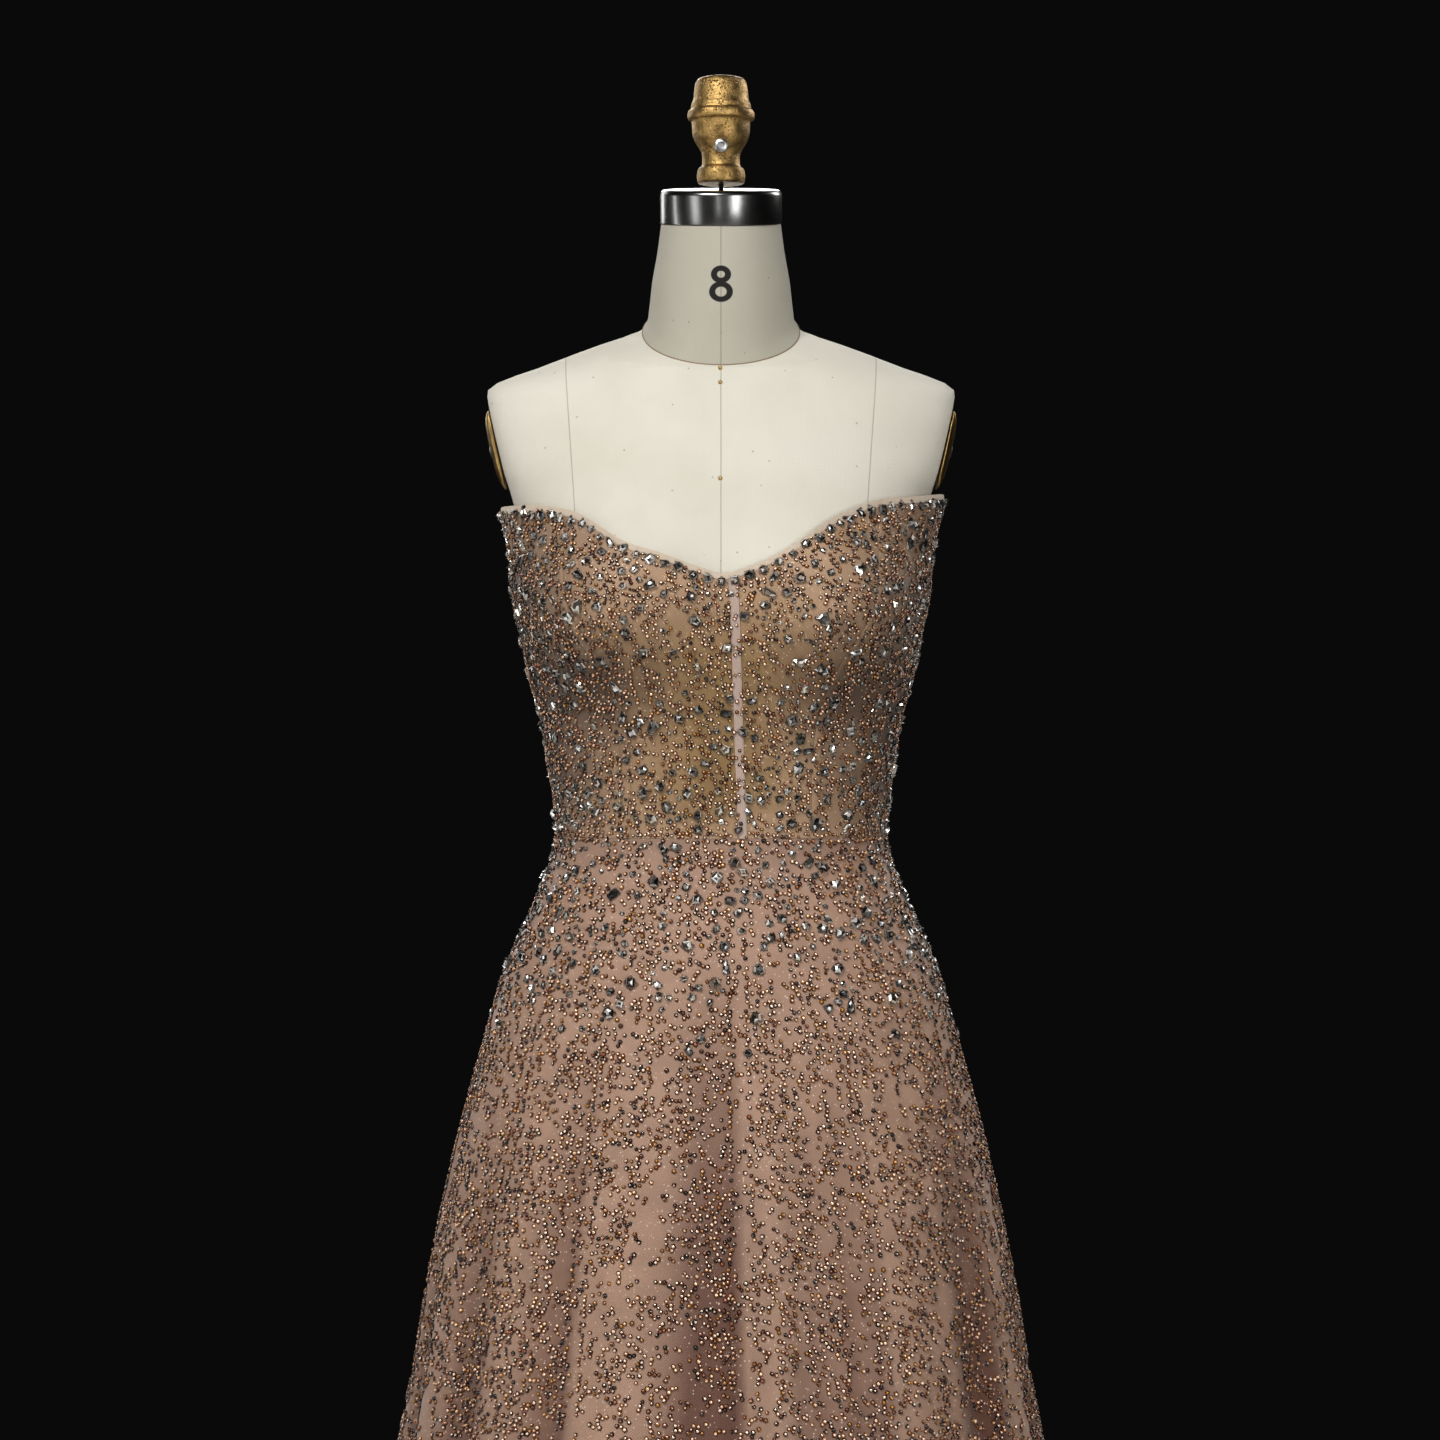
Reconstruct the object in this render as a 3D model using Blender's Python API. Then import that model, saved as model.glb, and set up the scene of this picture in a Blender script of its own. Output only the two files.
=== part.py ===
"""A strapless beaded evening dress on a size 8 dress form that stands on a pole and a round base.

Metres, +Z up, the front faces -Y. The origin is the middle of the base's underside, on the floor.
Left and right are as seen from the front, so left is at -X. Azimuths are seen from above, from 0 at
the front, through +90 at +X, to 180 at the back.
"""

import math
from typing import NamedTuple

import bmesh
import bpy
import numpy as np
from mathutils import Matrix, Vector

# Driving dimensions
SEAM_GAP = 0.0003
WAIST = 1.100
HEM = 0.012

BODICE_CLEARANCE = 0.0017
BODICE_WALL = 0.0018
BODICE_ROWS = 12
CUP_PAD = 0.0013
CORNER_FLARE = 0.0062
CENTRE_FLARE = 0.0012
FLARE_START = 1.305
FLARE_RISE = 0.050

SKIRT_WALL = 0.0020
GRAIN_DRIFT = 18.0
FOLD_GROWTH = 0.85
# The least turn of the cloth, at a gore's seam, for a turn of its grain
GRAIN_STRETCH = 0.6

# A height near the neckline, from which the search for the neckline's own height starts
EDGE_GUESS = 1.35
BINDING_GAP = 0.00045
BINDING_HEIGHT = 0.0050
BINDING_WALL = 0.0016
CHANNEL_WIDTH = 0.0070
CHANNEL_WALL = 0.0010
STRIP_LIFT = 0.0006
ZIP_WIDTH = 0.0090
ZIP_WALL = 0.0012
ZIP_END = 0.960

FORM_BOTTOM = 0.860
FORM_FRONT = 75.0
FORM_FRONT_COLUMNS = 30
FORM_BACK_COLUMNS = 20
NECK_SEAM_HEIGHT = 1.502
NECK_SEAM_RISE = 0.50
ARMHOLE_TOP_X = 0.1883
ARMHOLE_TOP_Z = 1.4528
ARMHOLE_BOTTOM_Z = 1.356
ARMHOLE_LEAN = 0.2250
PLATE_DROP = 0.0050

NECK_GAP = 0.00036
NECK_TOP_HEIGHT = 1.5867
NECK_TOP_FORWARD = 0.0150
NECK_TOP_TILT = 9.5
CAP_RADIUS = 0.0484
CAP_HEIGHT = 0.0270
KNOB_FOOT_HEIGHT = 1.6180
STEM_RADIUS = 0.0022

BASE_RADIUS = 0.165
HUB_TOP = 0.060
POLE_RADIUS = 0.016


class Section(NamedTuple):
    """A level section: its height, half width, depth to the front and to the back, and squareness."""

    height: float
    half_width: float
    front: float
    back: float
    squareness: float


FORM = (
    Section(0.860, 0.1680, 0.108, 0.120, 2.2),
    Section(0.900, 0.1755, 0.116, 0.129, 2.2),
    Section(0.940, 0.1770, 0.119, 0.129, 2.2),
    Section(0.980, 0.1715, 0.117, 0.121, 2.2),
    Section(1.016, 0.1580, 0.112, 0.110, 2.2),
    Section(1.048, 0.1438, 0.105, 0.099, 2.2),
    Section(1.080, 0.1315, 0.098, 0.090, 2.2),
    Section(1.100, 0.1277, 0.094, 0.087, 2.2),
    Section(1.130, 0.1298, 0.095, 0.088, 2.2),
    Section(1.160, 0.1345, 0.097, 0.092, 2.2),
    Section(1.192, 0.1393, 0.101, 0.098, 2.2),
    Section(1.224, 0.1485, 0.106, 0.104, 2.2),
    Section(1.256, 0.1545, 0.111, 0.108, 2.2),
    Section(1.288, 0.1615, 0.114, 0.111, 2.2),
    Section(1.320, 0.1642, 0.112, 0.113, 2.2),
    Section(1.356, 0.1662, 0.103, 0.113, 2.2),
    Section(1.372, 0.1705, 0.099, 0.112, 2.1),
    Section(1.390, 0.1800, 0.094, 0.110, 2.0),
    Section(1.410, 0.1880, 0.088, 0.107, 1.9),
    Section(1.430, 0.1925, 0.082, 0.103, 1.9),
    Section(1.444, 0.1922, 0.077, 0.099, 1.9),
    Section(1.4528, 0.1908, 0.074, 0.096, 1.9),
    Section(1.4624, 0.1765, 0.070, 0.092, 1.9),
    Section(1.4720, 0.1490, 0.067, 0.088, 1.9),
    Section(1.4816, 0.1238, 0.064, 0.083, 1.9),
    Section(1.4912, 0.0972, 0.061, 0.078, 2.0),
    Section(1.4980, 0.0765, 0.059, 0.073, 2.0),
    Section(1.5040, 0.0640, 0.057, 0.070, 2.0),
    Section(1.5200, 0.0590, 0.053, 0.067, 2.0),
    Section(1.5500, 0.0550, 0.047, 0.065, 2.0),
)

SKIRT = (
    Section(0.012, 0.3450, 0.322, 0.330, 2.0),
    Section(0.200, 0.3170, 0.289, 0.296, 2.0),
    Section(0.400, 0.2860, 0.253, 0.259, 2.0),
    Section(0.632, 0.2490, 0.207, 0.212, 2.05),
    Section(0.680, 0.2405, 0.197, 0.202, 2.05),
    Section(0.744, 0.2310, 0.183, 0.188, 2.05),
    Section(0.808, 0.2195, 0.168, 0.173, 2.1),
    Section(0.872, 0.2055, 0.150, 0.157, 2.1),
    Section(0.904, 0.1975, 0.142, 0.149, 2.1),
    Section(0.936, 0.1885, 0.134, 0.141, 2.15),
    Section(0.968, 0.1795, 0.127, 0.133, 2.2),
    Section(0.984, 0.1750, 0.1240, 0.1275, 2.2),
    Section(1.016, 0.1615, 0.1165, 0.1150, 2.2),
    Section(1.048, 0.1475, 0.1092, 0.1035, 2.2),
    Section(1.080, 0.1352, 0.1015, 0.0937, 2.2),
    Section(1.100, 0.1310, 0.0973, 0.0903, 2.2),
)

SKIRT_ROWS = (HEM, 0.16, 0.31, 0.45, 0.58, 0.69, 0.79, 0.87, 0.93, 0.98, 1.02, 1.06, WAIST - SEAM_GAP / 2)


class Bust(NamedTuple):
    """The swell of the bust on each side of the centre front."""

    azimuth: float
    height: float
    reach: float
    spread: float
    spread_up: float
    spread_down: float


BUST = Bust(azimuth=38.0, height=1.276, reach=0.0285, spread=23.0, spread_up=0.062, spread_down=0.049)


class EdgePoint(NamedTuple):
    """The height of the neckline at an azimuth."""

    azimuth: float
    height: float


NECKLINE = (
    EdgePoint(-180.0, 1.3350),
    EdgePoint(-150.0, 1.3380),
    EdgePoint(-120.0, 1.3470),
    EdgePoint(-90.0, 1.3555),
    EdgePoint(-78.0, 1.3555),
    EdgePoint(-61.0, 1.3534),
    EdgePoint(-50.0, 1.3476),
    EdgePoint(-42.0, 1.3380),
    EdgePoint(-32.0, 1.3245),
    EdgePoint(-20.0, 1.3145),
    EdgePoint(-8.0, 1.3045),
    EdgePoint(0.5, 1.2995),
    EdgePoint(9.5, 1.3040),
    EdgePoint(23.0, 1.3190),
    EdgePoint(35.0, 1.3380),
    EdgePoint(46.0, 1.3505),
    EdgePoint(57.0, 1.3588),
    EdgePoint(69.0, 1.3620),
    EdgePoint(85.0, 1.3660),
    EdgePoint(120.0, 1.3520),
    EdgePoint(150.0, 1.3400),
    EdgePoint(180.0, 1.3350),
)


class SeamPoint(NamedTuple):
    """Where the seams of the bodice lie at a height, as azimuths."""

    height: float
    centre: float
    princess: float
    side: float
    back: float


SEAMS = (
    SeamPoint(1.100, 9.9, 41.6, 90.0, 138.4),
    SeamPoint(1.180, 7.6, 40.0, 90.0, 140.0),
    SeamPoint(1.240, 5.9, 42.0, 90.0, 141.5),
    SeamPoint(1.290, 4.6, 48.0, 90.0, 143.0),
    SeamPoint(1.360, 3.0, 57.0, 90.0, 144.0),
)


class Fold(NamedTuple):
    """A soft fold of the skirt: azimuth, half widths to its left and right, crest at the hem, start."""

    azimuth: float
    left: float
    right: float
    crest: float
    start: float


FOLDS = (
    Fold(-166.0, 6.0, 6.0, -0.018, 1.00),
    Fold(-151.0, 6.0, 6.0, 0.014, 0.97),
    Fold(-136.0, 6.0, 7.0, -0.018, 0.97),
    Fold(-121.0, 7.0, 6.0, 0.015, 0.95),
    Fold(-105.0, 6.0, 7.0, -0.019, 0.94),
    Fold(-90.0, 7.0, 6.0, 0.014, 0.90),
    Fold(-76.0, 6.0, 5.0, -0.017, 0.92),
    Fold(-62.0, 6.0, 6.0, 0.012, 0.90),
    Fold(-50.0, 4.5, 5.0, -0.013, 0.90),
    Fold(-39.0, 5.0, 5.0, 0.010, 0.93),
    Fold(-28.5, 4.5, 2.6, -0.011, 0.95),
    Fold(-17.0, 7.0, 6.0, 0.007, 0.95),
    Fold(-1.0, 7.0, 3.4, -0.019, 1.00),
    Fold(8.8, 3.6, 5.0, 0.013, 1.00),
    Fold(17.5, 5.0, 4.0, -0.007, 0.93),
    Fold(24.5, 3.4, 2.6, -0.008, 0.95),
    Fold(32.0, 4.5, 6.0, 0.013, 0.95),
    Fold(49.0, 4.5, 8.0, -0.018, 0.92),
    Fold(66.0, 8.0, 6.0, 0.014, 0.90),
    Fold(78.0, 4.5, 4.5, -0.012, 0.88),
    Fold(88.0, 5.0, 6.0, 0.013, 0.90),
    Fold(103.0, 7.0, 6.0, -0.019, 0.92),
    Fold(118.0, 6.0, 7.0, 0.014, 0.93),
    Fold(133.0, 7.0, 6.0, -0.016, 0.95),
    Fold(148.0, 6.0, 7.0, 0.015, 0.97),
    Fold(164.0, 6.0, 6.0, -0.019, 1.00),
    Fold(180.0, 7.0, 7.0, 0.012, 1.00),
)


class Panel(NamedTuple):
    """A piece of cloth between two of its seams, which are columns of SEAMS or azimuths of the grain."""

    name: str
    start: float
    end: float
    columns: int


# The seams of the bodice are numbered from the centre front: 1 princess, 2 side, 3 back, 4 zip
BODICE_PANELS = (
    Panel("bodice_back_left", -4, -3, 4),
    Panel("bodice_side_back_left", -3, -2, 6),
    Panel("bodice_side_front_left", -2, -1, 8),
    Panel("bodice_front_left", -1, 0, 9),
    Panel("bodice_front_right", 0, 1, 8),
    Panel("bodice_side_front_right", 1, 2, 8),
    Panel("bodice_side_back_right", 2, 3, 6),
    Panel("bodice_back_right", 3, 4, 4),
)

SKIRT_PANELS = (
    Panel("skirt_back_left", -180, -153, 6),
    Panel("skirt_side_back_left", -153, -90, 13),
    Panel("skirt_side_front_left", -90, -27, 15),
    Panel("skirt_front", -27, 27, 18),
    Panel("skirt_side_front_right", 27, 90, 15),
    Panel("skirt_side_back_right", 90, 153, 13),
    Panel("skirt_back_right", 153, 180, 6),
)


class Channel(NamedTuple):
    """A boning channel: the seam that it lies on, and how far round from it, in degrees."""

    name: str
    seam: float
    shift: float


CHANNELS = (
    Channel("channel_back_left", -3, 0.0),
    Channel("channel_side_left", -2, 11.0),
    Channel("channel_princess_left", -1, 0.0),
    Channel("channel_centre_front", 0, 0.0),
    Channel("channel_princess_right", 1, 0.0),
    Channel("channel_side_right", 2, -11.0),
    Channel("channel_back_right", 3, 0.0),
)


class Turn(NamedTuple):
    """A point of a turned profile: radius and height above the profile's foot."""

    radius: float
    rise: float


KNOB = (
    Turn(0.0, 0.0),
    Turn(0.0172, 0.0),
    Turn(0.0187, 0.0018),
    Turn(0.0187, 0.0105),
    Turn(0.0172, 0.0128),
    Turn(0.0152, 0.0142),
    Turn(0.0150, 0.0215),
    Turn(0.0162, 0.0262),
    Turn(0.0190, 0.0305),
    Turn(0.0216, 0.0355),
    Turn(0.0229, 0.0410),
    Turn(0.0232, 0.0480),
    Turn(0.0238, 0.0500),
    Turn(0.0264, 0.0515),
    Turn(0.0266, 0.0565),
    Turn(0.0250, 0.0588),
    Turn(0.0238, 0.0598),
    Turn(0.0236, 0.0630),
    Turn(0.0226, 0.0650),
    Turn(0.0216, 0.0720),
    Turn(0.0206, 0.0780),
    Turn(0.0188, 0.0822),
    Turn(0.0150, 0.0843),
    Turn(0.0, 0.0850),
)

BASE = (
    Turn(0.0, 0.0),
    Turn(BASE_RADIUS - 0.002, 0.0),
    Turn(BASE_RADIUS, 0.002),
    Turn(BASE_RADIUS, 0.006),
    Turn(BASE_RADIUS - 0.006, 0.010),
    Turn(0.060, 0.018),
    Turn(0.034, 0.028),
    Turn(0.028, 0.042),
    Turn(0.027, HUB_TOP - 0.002),
    Turn(0.025, HUB_TOP),
    Turn(0.0, HUB_TOP),
)


class NeckRing(NamedTuple):
    """A ring of the neck: share of the way up, half width, half depth along the ring, tilt in degrees."""

    share: float
    half_width: float
    half_depth: float
    tilt: float


NECK = (
    NeckRing(0.00, 0.0628, 0.0722, math.degrees(math.atan(NECK_SEAM_RISE))),
    NeckRing(0.08, 0.0592, 0.0685, 25.0),
    NeckRing(0.20, 0.0575, 0.0645, 22.5),
    NeckRing(0.45, 0.0550, 0.0585, 17.5),
    NeckRing(0.75, 0.0505, 0.0520, 12.5),
    NeckRing(1.00, 0.0476, 0.0476, NECK_TOP_TILT),
)



class PlateRing(NamedTuple):
    """A ring of an armhole plate: its size as a share of the armhole's, and how far it stands out."""

    share: float
    rise: float


PLATE = (
    PlateRing(0.88, 0.0),
    PlateRing(0.88, 0.0010),
    PlateRing(0.79, 0.0031),
    PlateRing(0.60, 0.0048),
    PlateRing(0.34, 0.0056),
)

# The zip's slider and pull, from the slider's face outwards
SLIDER_WIDTH = 0.0070
SLIDER_LENGTH = 0.0110
SLIDER_THICKNESS = 0.0020
SLIDER_ROUNDING = 0.0018
SLIDER_DROP = 0.0090
BRIDGE_WIDTH = 0.0020
BRIDGE_LENGTH = 0.0092
BRIDGE_BAR = 0.0011
BRIDGE_ROUNDING = 0.0006
BRIDGE_SINK = 0.0004
PIN_RADIUS = 0.0006
PIN_STANDOFF = 0.0011
PIN_CLEARANCE = 0.00035
PIN_LENGTH = 0.0052
PULL_WIDTH = 0.0056
PULL_LENGTH = 0.0230
PULL_THICKNESS = 0.0010
PULL_FLARE = 1.35
PULL_ROUNDING = 0.0026
PULL_EYE_WIDTH = 0.0030
PULL_EYE_LENGTH = 0.0064
PULL_TOP = 0.0005

# The knob's set screw, and the shares of its head's length and radius where its rounded face starts
SCREW_RADIUS = 0.0056
SCREW_LENGTH = 0.0040
SCREW_SHOULDER = 0.7
SCREW_FACE = 0.75
SCREW_RISE = 0.0272
SCREW_SEAT = 0.0206
SHANK_RADIUS = 0.0022
SHANK_LENGTH = 0.0019


class Look(NamedTuple):
    """Colour, roughness and metallic value of a material."""

    colour: tuple
    roughness: float
    metallic: float


LOOKS = {
    "beaded net": Look((0.36, 0.24, 0.17), 0.62, 0.0),
    "beaded net skirt": Look((0.40, 0.25, 0.19), 0.60, 0.0),
    "sheer tulle": Look((0.62, 0.45, 0.34), 0.70, 0.0),
    "satin tape": Look((0.56, 0.36, 0.28), 0.55, 0.0),
    "canvas": Look((0.78, 0.74, 0.65), 0.85, 0.0),
    "brass": Look((0.62, 0.42, 0.16), 0.34, 1.0),
    "chromed steel": Look((0.62, 0.62, 0.60), 0.14, 1.0),
    "black iron": Look((0.03, 0.03, 0.03), 0.45, 1.0),
}


def column(table, name, at):
    """A smooth curve through one column of a table, read at values of the table's first column."""
    stations = np.array([row[0] for row in table])
    values = np.array([getattr(row, name) for row in table])
    slopes = np.gradient(values, stations)
    at = np.clip(at, stations[0], stations[-1])
    left = np.clip(np.searchsorted(stations, at, side="right") - 1, 0, len(stations) - 2)
    width = stations[left + 1] - stations[left]
    t = (at - stations[left]) / width
    start = (2 * t**3 - 3 * t**2 + 1) * values[left] + (t**3 - 2 * t**2 + t) * width * slopes[left]
    end = (3 * t**2 - 2 * t**3) * values[left + 1] + (t**3 - t**2) * width * slopes[left + 1]
    return start + end


def section_radius(table, azimuth, height):
    """Distance from the axis to a section's outline, at an azimuth in degrees."""
    turn = np.radians(azimuth)
    depth = np.where(np.cos(turn) > 0, column(table, "front", height), column(table, "back", height))
    power = column(table, "squareness", height)
    side = np.abs(np.sin(turn)) / column(table, "half_width", height)
    face = np.abs(np.cos(turn)) / depth
    return (side**power + face**power) ** (-1.0 / power)


def form_radius(azimuth, height, pad=0.0):
    """The dress form's surface: its sections, and the bust, with any padding over the bust."""
    across = (np.abs(azimuth) - BUST.azimuth) / BUST.spread
    spread = np.where(height > BUST.height, BUST.spread_up, BUST.spread_down)
    along = (height - BUST.height) / spread
    return section_radius(FORM, azimuth, height) + (BUST.reach + pad) * np.exp(-(across**2) - along**2)


def bodice_radius(azimuth, height):
    """The bodice's outer face, which stands off the form a little more towards its top corners."""
    rise = np.clip((height - FLARE_START) / FLARE_RISE, 0.0, 1.0)
    flare = CENTRE_FLARE + (CORNER_FLARE - CENTRE_FLARE) * np.sin(np.radians(azimuth)) ** 2
    stand_off = BODICE_CLEARANCE + BODICE_WALL + flare * rise**2
    return form_radius(azimuth, height, CUP_PAD) + stand_off


def fold_height(grain, height):
    """How far the skirt's folds stand out at a thread of its grain, named by its azimuth at the hem."""
    total = np.zeros(np.broadcast(grain, height).shape)
    for fold in FOLDS:
        away = (grain - fold.azimuth + 180.0) % 360.0 - 180.0
        width = np.where(away < 0, fold.left, fold.right)
        grown = np.clip((fold.start - height) / (fold.start - HEM), 0.0, 1.0) ** FOLD_GROWTH
        total = total + fold.crest * grown * np.exp(-((away / width) ** 2))
    return total


def skirt_azimuth(grain, height):
    """Where a thread of the grain lies at a height: threads run straighter down than the flare does."""
    drift = GRAIN_DRIFT * (height - HEM) / (WAIST - HEM)
    return grain + drift * np.sin(2.0 * np.radians(grain))


def skirt_radius(grain, height):
    """The skirt's outer face at a thread of its grain."""
    return section_radius(SKIRT, skirt_azimuth(grain, height), height) + fold_height(grain, height)


def seam_azimuth(number, height):
    """The azimuth of a bodice seam at a height. The seams on the left have negative numbers."""
    names = ("centre", "princess", "side", "back")
    if abs(number) == 4:
        return np.full(np.shape(height), math.copysign(180.0, number))
    sign = -1.0 if number < 0 else 1.0
    return sign * column(SEAMS, names[int(abs(number))], height)


def neckline(azimuth):
    """Height of the bodice's top edge."""
    return column(NECKLINE, "height", azimuth)


def place(azimuth, radius, height):
    """Points at a distance from the axis."""
    turn = np.radians(azimuth)
    flat = np.broadcast_arrays(radius * np.sin(turn), -radius * np.cos(turn), height)
    return np.stack(flat, axis=-1)


def material(name):
    """The material of a look, made once."""
    found = bpy.data.materials.get(name)
    if found:
        return found
    look = LOOKS[name]
    made = bpy.data.materials.new(name)
    made.use_nodes = True
    shader = made.node_tree.nodes["Principled BSDF"]
    shader.inputs["Base Color"].default_value = (*look.colour, 1.0)
    shader.inputs["Roughness"].default_value = look.roughness
    shader.inputs["Metallic"].default_value = look.metallic
    made.diffuse_color = (*look.colour, 1.0)
    return made


def finish(name, mesh, look, sharp=40.0):
    """Makes a bmesh a smooth-shaded object of the scene, with its faces outwards."""
    bmesh.ops.recalc_face_normals(mesh, faces=mesh.faces)
    data = bpy.data.meshes.new(name)
    mesh.to_mesh(data)
    mesh.free()
    data.shade_smooth()
    data.set_sharp_from_angle(angle=math.radians(sharp))
    made = bpy.data.objects.new(name, data)
    bpy.context.collection.objects.link(made)
    data.materials.append(material(look))
    return made


def wall(name, outer, inner, look):
    """A closed wall between two grids of points, row by row."""
    rows, columns, _ = outer.shape
    mesh = bmesh.new()
    sides = [[[mesh.verts.new(point) for point in row] for row in grid] for grid in (outer, inner)]
    front, rear = sides
    for i in range(rows - 1):
        for j in range(columns - 1):
            for grid in sides:
                mesh.faces.new((grid[i][j], grid[i][j + 1], grid[i + 1][j + 1], grid[i + 1][j]))
        for j in (0, columns - 1):
            mesh.faces.new((front[i][j], front[i + 1][j], rear[i + 1][j], rear[i][j]))
    for j in range(columns - 1):
        for i in (0, rows - 1):
            mesh.faces.new((front[i][j], front[i][j + 1], rear[i][j + 1], rear[i][j]))
    return finish(name, mesh, look)


def build_bodice():
    """The bodice's panels, from the waist seam to the neckline."""
    shares = np.linspace(0.0, 1.0, BODICE_ROWS + 1)[:, None]
    for panel in BODICE_PANELS:
        across = np.linspace(0.0, 1.0, panel.columns + 1)[None, :]
        height = np.full((BODICE_ROWS + 1, panel.columns + 1), WAIST)
        for _ in range(3):
            azimuth = panel_azimuth(panel, across, height)
            height = WAIST + SEAM_GAP / 2 + (neckline(azimuth) - WAIST) * shares
        outer = bodice_radius(azimuth, height)
        cloth = place(azimuth, outer, height)
        lining = place(azimuth, outer - BODICE_WALL, height)
        wall(panel.name, cloth, lining, "beaded net")


def panel_azimuth(panel, across, height):
    """Azimuths across a bodice panel, short of its seams by half a gap."""
    start = seam_azimuth(panel.start, height)
    end = seam_azimuth(panel.end, height)
    half_gap = np.degrees(SEAM_GAP / 2 / form_radius(start, height))
    return start + half_gap + (end - start - 2 * half_gap) * across


def build_skirt():
    """The skirt's gores, each a folded wall from the waist seam to the hem."""
    height = np.array(SKIRT_ROWS)[:, None]
    for panel in SKIRT_PANELS:
        half_gap = np.degrees(SEAM_GAP / 2 / skirt_radius(panel.start, height)) / GRAIN_STRETCH
        share = np.linspace(0.0, 1.0, panel.columns + 1)[None, :]
        grain = panel.start + half_gap + (panel.end - panel.start - 2 * half_gap) * share
        rows = np.broadcast_to(height, grain.shape)
        azimuth = skirt_azimuth(grain, rows)
        outer = skirt_radius(grain, rows)
        cloth = place(azimuth, outer, rows)
        lining = place(azimuth, outer - SKIRT_WALL, rows)
        wall(panel.name, cloth, lining, "beaded net skirt")


def build_binding():
    """The narrow edge that stands above the bodice all round, open at the zip."""
    edges = []
    for panel in BODICE_PANELS:
        share = np.linspace(0.0, 1.0, panel.columns + 1)
        top = neckline(seam_azimuth(panel.start, EDGE_GUESS))
        azimuth = panel_azimuth(panel, share, np.full(share.shape, top))
        for _ in range(3):
            azimuth = panel_azimuth(panel, share, neckline(azimuth))
        if edges:
            edges[-1] = (edges[-1] + azimuth[0]) / 2
            azimuth = azimuth[1:]
        edges.extend(azimuth)
    azimuth = np.array(edges)[None, :]
    foot = neckline(azimuth) + BINDING_GAP
    height = np.vstack([foot, foot + BINDING_HEIGHT])
    azimuth = np.vstack([azimuth, azimuth])
    outer = bodice_radius(azimuth, foot)
    wall(
        "neck_binding",
        place(azimuth, outer, height),
        place(azimuth, outer - BINDING_WALL, height),
        "sheer tulle",
    )


def strip(name, azimuth, radius, height, width, thickness, look):
    """A narrow tape that lies just off the cloth, along a line of azimuths and heights."""
    half_turn = np.degrees(width / 2 / radius(azimuth, height))[:, None]
    turns = azimuth[:, None] + half_turn * np.array([[-1.0, 0.0, 1.0]])
    heights = np.repeat(height[:, None], 3, axis=1)
    inner = radius(turns, heights) + STRIP_LIFT
    return wall(name, place(turns, inner + thickness, heights), place(turns, inner, heights), look)


def build_channels():
    """The boning channels, each from the waist seam to the neckline."""
    for channel in CHANNELS:
        height = np.full(BODICE_ROWS + 1, WAIST)
        for _ in range(3):
            azimuth = seam_azimuth(channel.seam, height) + channel.shift
            share = np.linspace(0.0, 1.0, BODICE_ROWS + 1)
            height = WAIST + SEAM_GAP / 2 + (neckline(azimuth) - WAIST) * share
        strip(channel.name, azimuth, bodice_radius, height, CHANNEL_WIDTH, CHANNEL_WALL, "satin tape")


def back_radius(azimuth, height):
    """The outer face of the dress at the centre back, bodice and skirt."""
    return np.where(
        height >= WAIST,
        bodice_radius(azimuth, height),
        section_radius(SKIRT, azimuth, height) + fold_height(180.0, height),
    )


def build_zip():
    """The zip's tape down the centre back, its slider with a bridge, and the pull that hangs from it."""
    top = float(neckline(180.0))
    upper = WAIST + SEAM_GAP / 2 + (top - WAIST) * np.linspace(0.0, 1.0, BODICE_ROWS + 1)
    lower = [row for row in SKIRT_ROWS if ZIP_END < row < WAIST]
    height = np.array([ZIP_END, *lower, *upper])
    strip("zip_tape", np.full(height.shape, 180.0), back_radius, height, ZIP_WIDTH, ZIP_WALL, "satin tape")
    slider_height = top - SLIDER_DROP
    tape_face = float(back_radius(180.0, slider_height)) + STRIP_LIFT + ZIP_WALL
    face = tape_face + SEAM_GAP + SLIDER_THICKNESS
    build_slider(Vector((0.0, face, slider_height)))
    build_pull(Vector((0.0, face + PIN_STANDOFF, slider_height)))


def block(low, high):
    """A box between two corners, as a bmesh."""
    mesh = bmesh.new()
    size = Vector(high) - Vector(low)
    middle = (Vector(high) + Vector(low)) / 2
    bmesh.ops.create_cube(mesh, size=1.0, matrix=Matrix.Translation(middle) @ Matrix.Diagonal((*size, 1.0)))
    return mesh


def outline_solid(points, depth):
    """A flat outline in the YZ plane, extruded along X both ways from the middle."""
    mesh = bmesh.new()
    face = mesh.faces.new([mesh.verts.new((-depth / 2, y, z)) for y, z in points])
    grown = bmesh.ops.extrude_face_region(mesh, geom=[face])
    moved = [item for item in grown["geom"] if isinstance(item, bmesh.types.BMVert)]
    bmesh.ops.translate(mesh, verts=moved, vec=(depth, 0.0, 0.0))
    return mesh


def combine(base, helper, operation):
    """Adds a helper's shape to an object, or takes it away, and hides the helper."""
    helper.hide_render = True
    helper.display_type = "WIRE"
    helper.parent = base
    modifier = base.modifiers.new(helper.name, "BOOLEAN")
    modifier.operation = operation
    modifier.object = helper


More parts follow.
